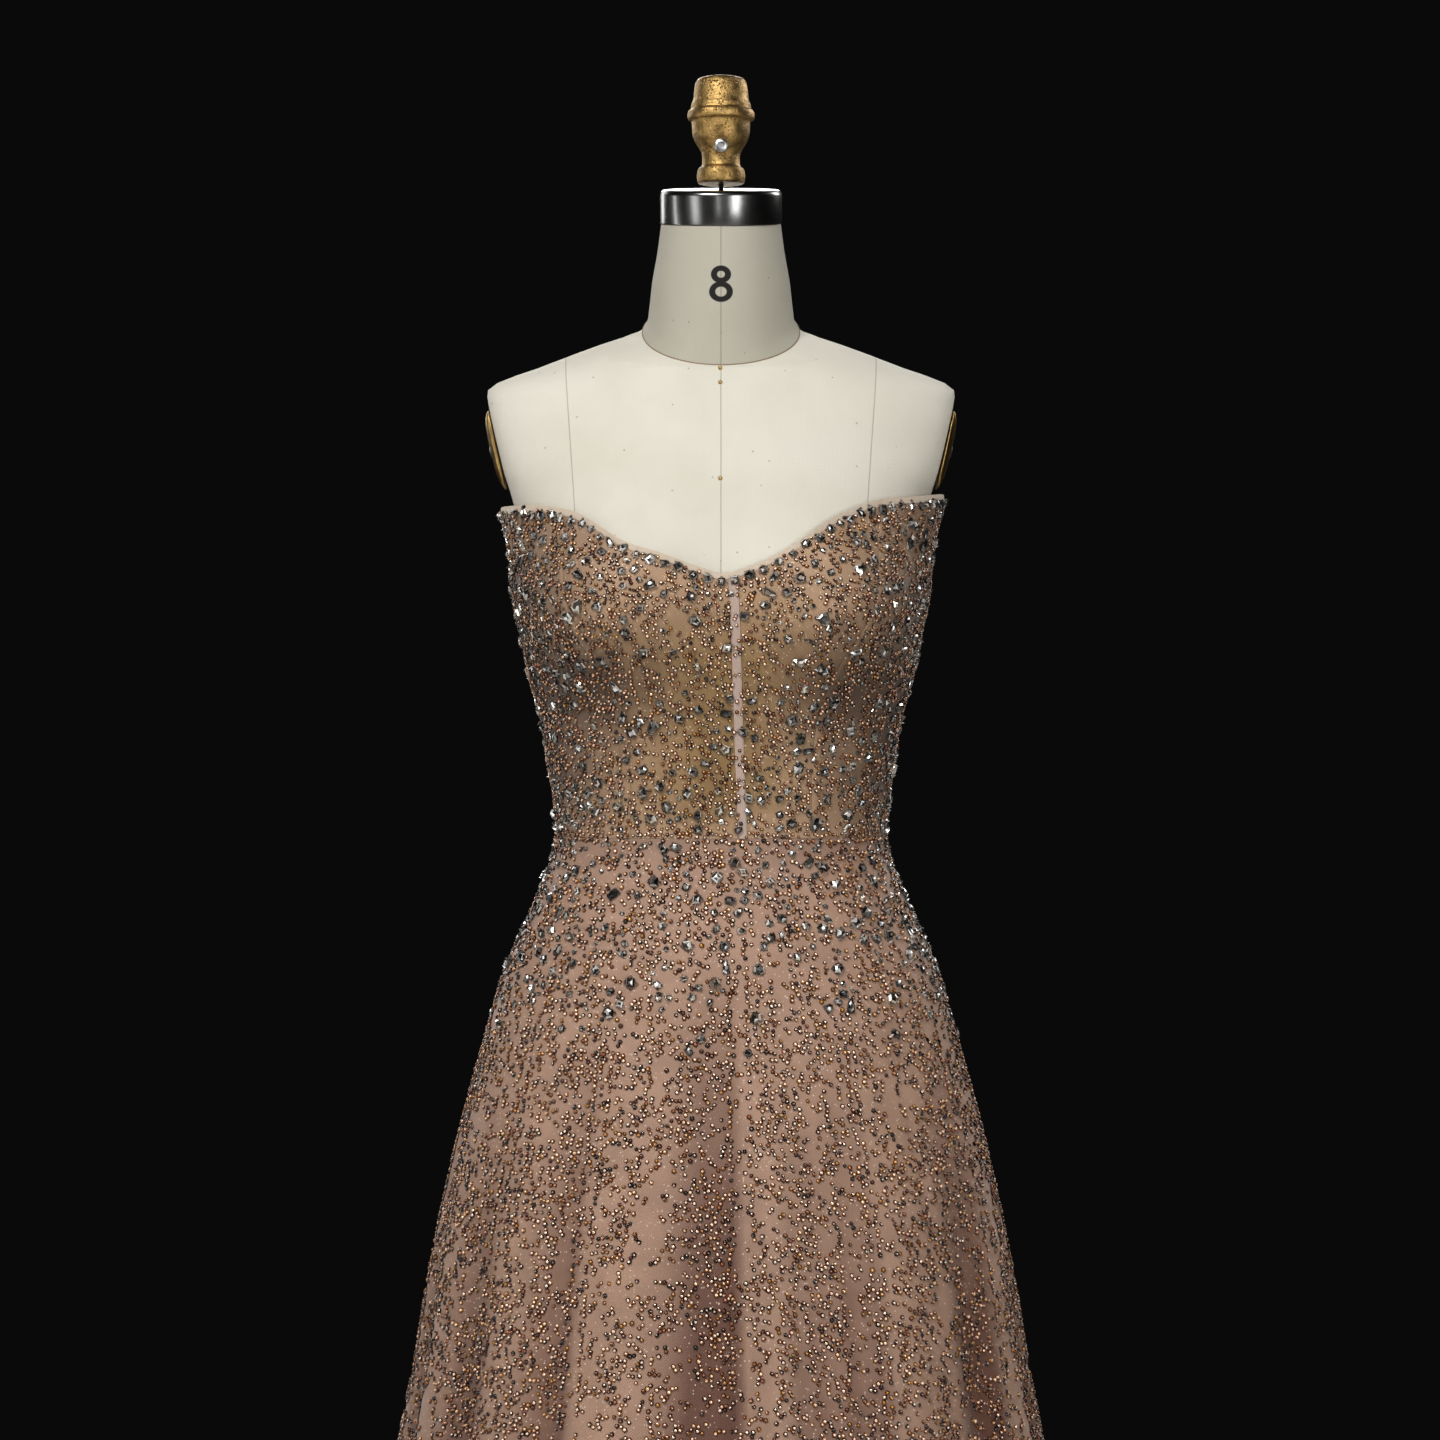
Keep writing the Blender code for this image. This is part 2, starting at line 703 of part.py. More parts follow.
def build_slider(centre):
    """The slider's plate, with a bridge that the pull's pin turns under."""
    half_length = SLIDER_LENGTH / 2
    plate = block(
        (-SLIDER_WIDTH / 2, -SLIDER_THICKNESS, -half_length),
        (SLIDER_WIDTH / 2, 0.0, half_length),
    )
    corners = [edge for edge in plate.edges if abs(edge.verts[0].co.y - edge.verts[1].co.y) > 1e-6]
    bmesh.ops.bevel(plate, geom=corners, offset=SLIDER_ROUNDING, segments=2, affect="EDGES")
    slider = finish("zip_slider", plate, "brass", sharp=30.0)
    slider.location = centre
    clear = PIN_STANDOFF + PIN_RADIUS + PIN_CLEARANCE
    outer = clear + BRIDGE_BAR
    shoulder = outer - BRIDGE_ROUNDING
    foot = -BRIDGE_SINK
    reach = BRIDGE_LENGTH / 2
    inside = reach - BRIDGE_BAR
    points = (
        (foot, -reach),
        (shoulder, -reach),
        (outer, -reach + BRIDGE_ROUNDING),
        (outer, reach - BRIDGE_ROUNDING),
        (shoulder, reach),
        (foot, reach),
        (foot, inside),
        (clear, inside),
        (clear, -inside),
        (foot, -inside),
    )
    bridge = finish("slider_bridge", outline_solid(points, BRIDGE_WIDTH), "brass")
    combine(slider, bridge, "UNION")


def build_pull(pin):
    """The pull: a tapered tab with an eye, closed at its top by the pin that it turns on."""
    tab = block(
        (-PULL_WIDTH / 2, -PULL_THICKNESS / 2, -PULL_LENGTH),
        (PULL_WIDTH / 2, PULL_THICKNESS / 2, PULL_TOP),
    )
    ends = [vert for vert in tab.verts if vert.co.z < 0]
    bmesh.ops.scale(tab, verts=ends, vec=(PULL_FLARE, 1.0, 1.0))
    corners = [edge for edge in tab.edges if edge.verts[0] in ends and edge.verts[1] in ends]
    corners = [edge for edge in corners if abs(edge.verts[0].co.x - edge.verts[1].co.x) < 1e-6]
    bmesh.ops.bevel(tab, geom=corners, offset=PULL_ROUNDING, segments=3, affect="EDGES")
    pull = finish("zip_pull", tab, "brass", sharp=30.0)
    pull.location = pin
    eye = block(
        (-PULL_EYE_WIDTH / 2, -PULL_THICKNESS, -PULL_EYE_LENGTH),
        (PULL_EYE_WIDTH / 2, PULL_THICKNESS, PULL_TOP + 0.001),
    )
    combine(pull, finish("pull_eye", eye, "brass"), "DIFFERENCE")
    bar = bmesh.new()
    bmesh.ops.create_cone(
        bar,
        cap_ends=True,
        segments=12,
        radius1=PIN_RADIUS,
        radius2=PIN_RADIUS,
        depth=PIN_LENGTH,
        matrix=Matrix.Rotation(math.pi / 2, 4, "Y"),
    )
    combine(pull, finish("pull_pin", bar, "brass"), "UNION")


def close_rings(mesh, rings):
    """Joins rings of vertices from the first to the last, and closes both ends."""
    for lower, upper in zip(rings, rings[1:]):
        for j in range(len(lower)):
            k = (j + 1) % len(lower)
            mesh.faces.new((lower[j], lower[k], upper[k], upper[j]))
    mesh.faces.new(list(reversed(rings[0])))
    mesh.faces.new(rings[-1])


def torso_mesh():
    """The torso, closed at its bottom and left open to be cut at the neck and armholes."""
    heights = [FORM_BOTTOM]
    for low, high in zip(FORM, FORM[1:]):
        if abs(low.height - BUST.height) < BUST.spread_up:
            heights.append((low.height + high.height) / 2)
        heights.append(high.height)
    mesh = bmesh.new()
    front = np.linspace(-FORM_FRONT, FORM_FRONT, FORM_FRONT_COLUMNS + 1)
    back = np.linspace(FORM_FRONT, 360.0 - FORM_FRONT, FORM_BACK_COLUMNS + 1)[1:-1]
    turns = (np.concatenate([front, back]) + 180.0) % 360.0 - 180.0
    rings = []
    for height in heights:
        points = place(turns, form_radius(turns, np.full(turns.shape, height)), height)
        rings.append([mesh.verts.new(point) for point in points])
    close_rings(mesh, rings)
    bmesh.ops.recalc_face_normals(mesh, faces=mesh.faces)
    return mesh


def cut_flat(mesh, point, normal, lowest):
    """Cuts away what lies beyond a plane and above a height, closes the cut, and gives its outline."""
    faces = [face for face in mesh.faces if all(vert.co.z > lowest - 1e-5 for vert in face.verts)]
    edges = {edge for face in faces for edge in face.edges}
    verts = {vert for face in faces for vert in face.verts}
    bmesh.ops.bisect_plane(
        mesh,
        geom=[*verts, *edges, *faces],
        plane_co=point,
        plane_no=normal,
        clear_outer=True,
    )
    rim = [edge for edge in mesh.edges if edge.is_boundary]
    closed = bmesh.ops.contextual_create(mesh, geom=rim)["faces"]
    return [vert.co.copy() for vert in closed[0].verts]


def build_form():
    """The torso, cut off at the neck seam and flat at each armhole, and the plates on the armholes."""
    mesh = torso_mesh()
    seam_normal = Vector((0.0, -NECK_SEAM_RISE, 1.0)).normalized()
    cut_flat(mesh, (0.0, 0.0, NECK_SEAM_HEIGHT), seam_normal, ARMHOLE_TOP_Z)
    for sign, name in ((-1.0, "arm_plate_left"), (1.0, "arm_plate_right")):
        normal = Vector((sign, 0.0, -ARMHOLE_LEAN)).normalized()
        point = (sign * ARMHOLE_TOP_X, 0.0, ARMHOLE_TOP_Z)
        outline = cut_flat(mesh, point, normal, ARMHOLE_BOTTOM_Z)
        build_plate(name, outline, normal)
    finish("form_torso", mesh, "canvas", sharp=60.0)


def build_plate(name, outline, normal):
    """A domed plate of an armhole's outline, a little smaller and lower, just off the cut."""
    middle = sum(outline, Vector()) / len(outline)
    down = Vector((0.0, 0.0, -1.0))
    down = (down - normal * down.dot(normal)).normalized() * PLATE_DROP
    mesh = bmesh.new()
    rings = []
    for ring in PLATE:
        offset = down + normal * (SEAM_GAP + ring.rise)
        rings.append([mesh.verts.new(middle.lerp(point, ring.share) + offset) for point in outline])
    close_rings(mesh, rings)
    finish(name, mesh, "brass", sharp=30.0)


def build_neck():
    """The neck, which leans forward from the slanted seam at its foot to the cap."""
    foot = Vector((0.0, 0.0, NECK_SEAM_HEIGHT + NECK_GAP))
    top = Vector((0.0, -NECK_TOP_FORWARD, NECK_TOP_HEIGHT))
    mesh = bmesh.new()
    rings = []
    for ring in NECK:
        middle = foot.lerp(top, ring.share)
        tilt = math.radians(ring.tilt)
        verts = []
        for azimuth in np.radians(np.arange(0.0, 360.0, 10.0)):
            across = ring.half_width * math.sin(azimuth)
            along = -ring.half_depth * math.cos(azimuth)
            offset = Vector((across, along * math.cos(tilt), along * math.sin(tilt)))
            verts.append(mesh.verts.new(middle + offset))
        rings.append(verts)
    close_rings(mesh, rings)
    finish("form_neck", mesh, "canvas", sharp=50.0)


def turned(name, profile, sides, look, sharp=35.0):
    """A solid turned from a profile of radii and rises about Z."""
    mesh = bmesh.new()
    verts = [mesh.verts.new((turn.radius, 0.0, turn.rise)) for turn in profile]
    edges = [mesh.edges.new(pair) for pair in zip(verts, verts[1:])]
    bmesh.ops.spin(
        mesh,
        geom=[*verts, *edges],
        cent=(0.0, 0.0, 0.0),
        axis=(0.0, 0.0, 1.0),
        angle=2.0 * math.pi,
        steps=sides,
        use_merge=True,
    )
    bmesh.ops.remove_doubles(mesh, verts=mesh.verts, dist=1e-6)
    return finish(name, mesh, look, sharp)


def build_top():
    """The chromed cap on the neck, the stem, the knob and its set screw."""
    tilt = Matrix.Rotation(math.radians(NECK_TOP_TILT), 4, "X")
    up = tilt @ Vector((0.0, 0.0, 1.0))
    foot = Vector((0.0, -NECK_TOP_FORWARD, NECK_TOP_HEIGHT)) + up * SEAM_GAP
    profile = (
        Turn(0.0, 0.0),
        Turn(CAP_RADIUS - 0.0006, 0.0),
        Turn(CAP_RADIUS, 0.0006),
        Turn(CAP_RADIUS, CAP_HEIGHT - 0.0025),
        Turn(CAP_RADIUS - 0.0008, CAP_HEIGHT - 0.0008),
        Turn(CAP_RADIUS - 0.0025, CAP_HEIGHT),
        Turn(0.0, CAP_HEIGHT),
    )
    cap = turned("neck_cap", profile, 36, "chromed steel")
    cap.matrix_world = Matrix.Translation(foot) @ tilt
    cap_top = foot + up * CAP_HEIGHT
    build_stem(cap_top)
    knob = turned("neck_knob", KNOB, 24, "brass", sharp=40.0)
    knob.location = (0.0, cap_top.y, KNOB_FOOT_HEIGHT)
    screw = (
        Turn(0.0, -SHANK_LENGTH),
        Turn(SHANK_RADIUS, -SHANK_LENGTH),
        Turn(SHANK_RADIUS, 0.0),
        Turn(SCREW_RADIUS, 0.0),
        Turn(SCREW_RADIUS, SCREW_LENGTH * SCREW_SHOULDER),
        Turn(SCREW_RADIUS * SCREW_FACE, SCREW_LENGTH),
        Turn(0.0, SCREW_LENGTH),
    )
    head = turned("knob_screw", screw, 12, "chromed steel")
    head.location = (0.0, cap_top.y - SCREW_SEAT, KNOB_FOOT_HEIGHT + SCREW_RISE)
    head.rotation_euler = (math.pi / 2, 0.0, 0.0)


def build_stem(cap_top):
    """The short stem, its foot slanted to lie on the cap and its top level under the knob."""
    slope = -math.tan(math.radians(NECK_TOP_TILT))
    mesh = bmesh.new()
    bmesh.ops.create_cone(
        mesh,
        cap_ends=True,
        segments=20,
        radius1=STEM_RADIUS,
        radius2=STEM_RADIUS,
        depth=1.0,
    )
    for vert in mesh.verts:
        if vert.co.z > 0:
            vert.co.z = KNOB_FOOT_HEIGHT - SEAM_GAP
        else:
            vert.co.z = cap_top.z + SEAM_GAP - slope * vert.co.y
        vert.co.y += cap_top.y
    finish("knob_stem", mesh, "black iron")


def build_stand():
    """The round base on the floor and the pole that carries the form."""
    turned("stand_base", BASE, 40, "black iron")
    pole = (
        Turn(0.0, HUB_TOP + SEAM_GAP),
        Turn(POLE_RADIUS, HUB_TOP + SEAM_GAP),
        Turn(POLE_RADIUS, FORM_BOTTOM - SEAM_GAP),
        Turn(0.0, FORM_BOTTOM - SEAM_GAP),
    )
    turned("stand_pole", pole, 24, "black iron")


def main():
    """Clears the scene and builds every piece."""
    for thing in list(bpy.data.objects):
        bpy.data.objects.remove(thing, do_unlink=True)
    build_stand()
    build_form()
    build_neck()
    build_top()
    build_bodice()
    build_channels()
    build_binding()
    build_skirt()
    build_zip()


main()
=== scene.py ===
"""The dressed model of a strapless beaded evening dress on its dress form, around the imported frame.

Metres, +Z up, the front faces -Y and the origin is on the floor under the pole. Left and right are
as seen from the front, so left is at -X. Azimuths run from 0 at the front, through 90 at +X, to 180
at the back. A thread of the skirt's grain is named by its azimuth at the hem.
"""

import logging
import math
from dataclasses import dataclass
from enum import Enum
from functools import partial
from itertools import product
from typing import Callable, NamedTuple

import bpy
import numpy as np
from bpy.types import Material, Node, NodeSocket, Object
from mathutils import Matrix, Vector


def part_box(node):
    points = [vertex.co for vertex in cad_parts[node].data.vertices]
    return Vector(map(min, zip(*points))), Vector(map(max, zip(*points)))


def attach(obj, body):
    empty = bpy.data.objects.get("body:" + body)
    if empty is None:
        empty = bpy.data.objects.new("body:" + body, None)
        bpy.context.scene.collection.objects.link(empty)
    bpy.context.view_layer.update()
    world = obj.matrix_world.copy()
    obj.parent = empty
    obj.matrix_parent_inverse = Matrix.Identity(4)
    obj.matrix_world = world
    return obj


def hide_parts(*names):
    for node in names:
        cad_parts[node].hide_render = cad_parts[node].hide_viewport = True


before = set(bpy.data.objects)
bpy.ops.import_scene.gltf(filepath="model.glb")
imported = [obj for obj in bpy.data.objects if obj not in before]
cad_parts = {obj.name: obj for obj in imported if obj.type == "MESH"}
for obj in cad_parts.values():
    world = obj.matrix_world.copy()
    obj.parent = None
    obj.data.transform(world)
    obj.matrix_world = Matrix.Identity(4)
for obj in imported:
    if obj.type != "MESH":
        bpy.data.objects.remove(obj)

Array = np.ndarray
Chance = np.random.Generator
# Radii and heights
Profile = tuple[tuple[float, float], ...]
# Adds a node to one material's tree
NodeAdder = Callable[..., Node]
# Gives points from azimuths (or threads of the grain) and heights
Surface = Callable[[Array, Array], Array]

log = logging.getLogger("dress")
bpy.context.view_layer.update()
ROOT = "root"

# Heights and boxes that the frame gives
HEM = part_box("skirt_front")[0][2]
WAIST = (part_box("skirt_front")[1][2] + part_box("bodice_front_left")[0][2]) / 2
FORM_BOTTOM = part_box("form_torso")[0][2]
KNOB_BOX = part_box("neck_knob")
SCREW_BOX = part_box("knob_screw")
POLE_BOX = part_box("stand_pole")
SLIDER_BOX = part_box("zip_slider")
ZIP_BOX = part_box("zip_tape")

SEAM_GAP = 0.0003
# Usual height of the neckline, and the zip's distance from the axis
USUAL_TOP = 1.33
ZIP_REACH = 0.115
BEAD_SEED = 41
NARROWEST_SHEET = 0.010


class Slot(Enum):
    """The record's material slots."""

    BODICE = "bodice"
    SKIRT = "skirt"
    EDGING = "edging"
    TAPE = "tape"
    CANVAS = "canvas"
    BRASS = "brass"
    CHROME = "chrome"
    IRON = "iron"
    ZIP_METAL = "zip_metal"


# Small tools


def linear(colour: str) -> tuple[float, float, float, float]:
    """Turns an sRGB hex colour such as "#c9ab90" into a linear one with full alpha."""
    parts = [int(colour[i : i + 2], 16) / 255.0 for i in (1, 3, 5)]
    flat = [part / 12.92 if part <= 0.04045 else ((part + 0.055) / 1.055) ** 2.4 for part in parts]
    return (flat[0], flat[1], flat[2], 1.0)


def add_node(tree: bpy.types.NodeTree, kind: str, inputs: dict | None = None, **settings: object) -> Node:
    """Adds a shader node with its settings and links.

    Args:
        tree: The material's node tree.
        kind: The node's type, without its ShaderNode prefix.
        inputs: What its inputs get, by name or number.
        settings: Properties of the node itself.

    Returns:
        The new node.
    """
    node = tree.nodes.new("ShaderNode" + kind)
    for name, value in settings.items():
        setattr(node, name, value)
    set_inputs(node, inputs or {})
    return node


def set_inputs(node: Node, inputs: dict[str | int, object]) -> None:
    """Gives a node's inputs values, hex colours, output sockets, or nodes for their first output."""
    for name, value in inputs.items():
        if isinstance(value, Node):
            value = value.outputs[0]
        if isinstance(value, NodeSocket):
            node.id_data.links.new(value, node.inputs[name])
        else:
            node.inputs[name].default_value = linear(value) if isinstance(value, str) else value


def deselect() -> None:
    """Leaves object mode with nothing selected."""
    if bpy.context.mode != "OBJECT":
        bpy.ops.object.mode_set(mode="OBJECT")
    bpy.ops.object.select_all(action="DESELECT")


def activate(piece: Object) -> None:
    """Makes a piece the only selected and the active one."""
    deselect()
    piece.select_set(True)
    bpy.context.view_layer.objects.active = piece


def linked(name: str, mesh: bpy.types.Mesh) -> Object:
    """Adds an object of a mesh to the scene."""
    piece = bpy.data.objects.new(name, mesh)
    bpy.context.collection.objects.link(piece)
    return piece


def pick_faces(piece: Object, wanted: Callable[[bpy.types.MeshPolygon], bool]) -> None:
    """Selects the faces that a test picks, and goes into edit mode with face selection."""
    activate(piece)
    for vertex in piece.data.vertices:
        vertex.select = False
    for edge in piece.data.edges:
        edge.select = False
    for face in piece.data.polygons:
        face.select = bool(wanted(face))
    bpy.ops.object.mode_set(mode="EDIT")
    bpy.ops.mesh.select_mode(type="FACE")


def close_up(piece: Object, distance: float = 1e-6) -> None:
    """Merges doubled points and turns every face outwards."""
    pick_faces(piece, lambda face: True)
    bpy.ops.mesh.remove_doubles(threshold=distance)
    bpy.ops.mesh.normals_make_consistent(inside=False)
    deselect()


def apply_modifier(piece: Object, kind: str, **settings: object) -> None:
    """Adds a modifier to a piece and applies it."""
    activate(piece)
    modifier = piece.modifiers.new(kind.lower(), kind)
    for name, value in settings.items():
        setattr(modifier, name, value)
    bpy.ops.object.modifier_apply(modifier=modifier.name)


def settle(piece: Object, smooth: float) -> None:
    """Puts a piece's place into its mesh, and shades it smooth up to an angle in degrees."""
    activate(piece)
    bpy.ops.object.transform_apply(location=True, rotation=True, scale=True)
    bpy.ops.object.shade_smooth_by_angle(angle=math.radians(smooth))
    deselect()


def own(
    piece: Object, name: str, materials: list[Material], slot: Slot, replaces: tuple[str, ...] = ()
) -> None:
    """Names a piece, gives it its materials, and ties it to the frame.

    Args:
        piece: The finished object.
        name: The piece's name.
        materials: Its materials, in the order of its face indices.
        slot: The record's slot that the finish belongs to; not used.
        replaces: The CAD nodes that it stands for.
    """
    piece.name = name
    piece.data.name = name
    piece.data.materials.clear()
    for material in materials:
        piece.data.materials.append(material)
    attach(piece, ROOT)
    if replaces:
        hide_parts(*replaces)


def moved_grid(points: Array) -> Object:
    """Adds a grid and moves its points onto a curved sheet.

    Args:
        points: The sheet's points, by row from the bottom and by column, as (rows, columns, 3).

    Returns:
        The grid's object, with each point's place on the flat cloth as its UV map, named cloth.
    """
    deselect()
    rows, columns = points.shape[:2]
    bpy.ops.mesh.primitive_grid_add(x_subdivisions=columns - 1, y_subdivisions=rows - 1, size=1.0)
    piece = bpy.context.object
    mesh = piece.data
    mesh.vertices.foreach_set("co", points.reshape(-1).astype(np.float32))
    corners = np.empty(len(mesh.loops), np.int32)
    mesh.loops.foreach_get("vertex_index", corners)
    layer = mesh.uv_layers.active
    layer.name = "cloth"
    flat = flat_cloth(points).reshape(-1, 2)
    layer.data.foreach_set("uv", flat[corners].reshape(-1).astype(np.float32))
    mesh.update()
    return piece


def arc_lengths(points: Array, axis: int) -> Array:
    """Distance run along each row (axis 1) or column (axis 0) of a sheet, from its first point."""
    steps = np.linalg.norm(np.diff(points, axis=axis), axis=-1)
    start = np.zeros_like(np.take(steps, [0], axis=axis))
    return np.concatenate([start, np.cumsum(steps, axis=axis)], axis=axis)


def sheet_area(points: Array) -> float:
    """Area of a sheet of points, in square metres."""
    first = np.cross(points[:-1, 1:] - points[:-1, :-1], points[1:, :-1] - points[:-1, :-1])
    second = np.cross(points[1:, :-1] - points[1:, 1:], points[:-1, 1:] - points[1:, 1:])
    return float((np.linalg.norm(first, axis=-1) + np.linalg.norm(second, axis=-1)).sum() / 2)


def flat_cloth(points: Array) -> Array:
    """Each point's place on the flat cloth: across from the sheet's middle thread, and up."""
    run = arc_lengths(points, 1)
    rise = arc_lengths(points, 0)[:, points.shape[1] // 2]
    middle = run[:, [points.shape[1] // 2]]
    return np.stack([run - middle, np.broadcast_to(rise[:, None], run.shape)], axis=-1)


def declare(piece: Object, points: Array) -> None:
    """Logs a piece's flat cut as a sheet: the size and area that its own threads give."""
    width = float(arc_lengths(points, 1)[:, -1].max())
    length = float(arc_lengths(points, 0)[-1].max())
    area = min(sheet_area(points), width * length)
    if min(width, length) < NARROWEST_SHEET:
        log.info("%s: %.1f x %.0f mm, too narrow to declare", piece.name, width * 1000, length * 1000)
        return
    log.info("%s: cut %.0f x %.0f mm, %.4f m2", piece.name, width * 1000, length * 1000, area)


def sew_sheet(
    names: tuple[str, str],
    points: Array,
    material: Material,
    slot: Slot,
    shell: tuple[float, float],
    marks: dict[str, Array] | None = None,
) -> None:
    """Builds a piece of cloth as a thin shell behind a sheet of points, and logs its cut.

    Args:
        names: The piece's name, and the CAD node that it stands for.
        points: The outer face, as (rows, columns, 3).
        material: The cloth.
        slot: The record's slot.
        shell: Thickness in metres, and the angle up to which it is shaded smooth.
        marks: Numbers for each point that the material reads, by name.
    """
    piece = moved_grid(points)
    for mark, values in (marks or {}).items():
        layer = piece.data.attributes.new(mark, "FLOAT", "POINT")
        layer.data.foreach_set("value", values.reshape(-1).astype(np.float32))
    apply_modifier(piece, "SOLIDIFY", thickness=shell[0], offset=-1.0)
    settle(piece, shell[1])
    own(piece, names[0], [material], slot, (names[1],))
    declare(piece, points)


def place(azimuth: Array, radius: Array, height: Array) -> Array:
    """Points at a distance from the axis, by azimuth in degrees."""
    turn = np.radians(azimuth)
    flat = np.broadcast_arrays(radius * np.sin(turn), -radius * np.cos(turn), height)
    return np.stack(flat, axis=-1)


def smooth_read(stations: Array, values: Array, at: Array) -> Array:
    """Reads a smooth curve through values at rising stations, held at its ends."""
    slopes = np.gradient(values, stations)
    at = np.clip(at, stations[0], stations[-1])
    left = np.clip(np.searchsorted(stations, at, side="right") - 1, 0, len(stations) - 2)
    width = stations[left + 1] - stations[left]
    t = (at - stations[left]) / width
    start = (2 * t**3 - 3 * t**2 + 1) * values[left] + (t**3 - 2 * t**2 + t) * width * slopes[left]
    end = (3 * t**2 - 2 * t**3) * values[left + 1] + (t**3 - t**2) * width * slopes[left + 1]
    return start + end


def read_table(rows: tuple[tuple[float, ...], ...], column: int, at: Array) -> Array:
    """Reads one column of a table smoothly, by the stations in its first."""
    table = np.array(rows)
    return smooth_read(table[:, 0], table[:, column], at)


def ramp(run: Array, width: float) -> Array:
    """Share of a width that is run through, from 0 to 1."""
    return np.clip(run / width, 0.0, 1.0)


def bell(away: Array, width: float | Array) -> Array:
    """1 in the middle, falling off softly over a width."""
    return np.exp(-((away / width) ** 2))


def apart(turn: Array, other: float) -> Array:
    """Degrees from an azimuth or thread to another, from -180 to 180."""
    return (turn - other + 180.0) % 360.0 - 180.0


def unit(vectors: Array) -> Array:
    """The same directions with a length of 1."""
    return vectors / np.linalg.norm(vectors, axis=-1, keepdims=True)


def degree_width(surface: Surface, turn: Array, height: Array) -> Array:
    """Metres to a degree across a surface."""
    return np.linalg.norm(surface(turn + 0.5, height) - surface(turn - 0.5, height), axis=-1)


# Finishes


def new_material(name: str) -> tuple[Material, NodeAdder, Node]:
    """Makes a material with a Principled shader, and gives what adds its nodes, and the shader."""
    material = bpy.data.materials.new(name)
    material.use_nodes = True
    tree = material.node_tree
    return material, partial(add_node, tree), tree.nodes["Principled BSDF"]


def thread_mask(add: NodeAdder, vector: NodeSocket, pitch: float, angle: float) -> NodeSocket:
    """Draws two crossed sets of threads.

    Args:
        add: Adds nodes to the material.
        vector: Coordinates in metres, read in their X and Y.
        pitch: Spacing of the threads in metres.
        angle: Turn of the threads in degrees.

    Returns:
        A socket that is 1 on the threads and 0 in the holes between them.
    """
    turned = add("Mapping", {"Vector": vector, "Rotation": (0.0, 0.0, math.radians(angle))})
    axes = add("SeparateXYZ", {0: turned})
    waves = []
    for axis in (0, 1):
        count = add("Math", {0: axes.outputs[axis], 1: math.pi / pitch}, operation="MULTIPLY")
        wave = add("Math", {0: count}, operation="SINE")
        waves.append(add("Math", {0: wave}, operation="ABSOLUTE"))
    top = add("Math", {0: waves[0], 1: waves[1]}, operation="MAXIMUM")
    return add("MapRange", {"Value": top, "From Min": 0.80, "From Max": 0.98}).outputs[0]


@dataclass(frozen=True)
class BeadedNet:
    """Polyester tulle with fine woven glitter, laid over matt satin: a soft ground with a net on it.

    The net's real holes are about 1 mm; they are drawn at net_pitch so that they show.
    """

    name: str
    # light and deep are the ground's two tones; on the skirt deep is painted shade in the fold troughs. shade
    # is the colour of the painted shade, and of the random mottling too.
    light: str
    deep: str
    shade: str
    glitter: str
    net_pitch: float = 0.0017
    glitter_size: float = 0.0016
    roughness: float = 0.62

    def build(self) -> Material:
        """Makes the material, which reads the piece's cloth map and its tone and painted shade marks."""
        material, add, shader = new_material(self.name)
        cloth = add("UVMap", uv_map="cloth").outputs[0]
        solid = add("TexCoord").outputs["Object"]
        tone = add("Attribute", attribute_name="tone").outputs["Fac"]
        shade = add("Attribute", attribute_name="shade").outputs["Fac"]
        cloud = add("TexNoise", {"Vector": solid, "Scale": 38.0, "Detail": 4.0})
        stain = add("MapRange", {"Value": cloud, "From Min": 0.35, "From Max": 0.7, "To Max": 0.22})
        # Painted shade: the tone mark deepens the skirt's fold troughs, and the shade mark darkens the
        # bodice's sides, under the bust and the folds' steep sides
        ground = add("MixRGB", {"Fac": tone, "Color1": self.light, "Color2": self.deep})
        shaded = add("MixRGB", {"Fac": shade, "Color1": ground, "Color2": self.shade})
        mottled = add("MixRGB", {"Fac": stain, "Color1": shaded, "Color2": self.shade})
        net = thread_mask(add, cloth, self.net_pitch, 45.0)
        holes = {"Fac": net, "Color1": mottled, "Color2": (0.86, 0.84, 0.82, 1.0)}
        netted = add("MixRGB", holes, blend_type="MULTIPLY")
        cells = add("TexVoronoi", {"Vector": cloth, "Scale": 1.0 / self.glitter_size})
        pick = add("SeparateColor", {0: cells.outputs["Color"]})
        lit = add("MapRange", {"Value": pick, "From Min": 0.90, "From Max": 0.94})
        near = add("MapRange", {"Value": cells.outputs["Distance"], "From Min": 0.42, "From Max": 0.30})
        spark = add("Math", {0: lit, 1: near}, operation="MULTIPLY")
        dotted = add("MixRGB", {"Fac": spark, "Color1": netted, "Color2": self.glitter})
        gloss = add("MapRange", {"Value": spark, "To Min": self.roughness, "To Max": 0.22})
        bump = add("Bump", {"Height": net, "Strength": 0.35, "Distance": 0.0003})
        set_inputs(shader, {"Base Color": dotted, "Roughness": gloss, "Normal": bump})
        set_inputs(shader, {"Sheen Weight": 0.25, "Sheen Roughness": 0.45})
        return material


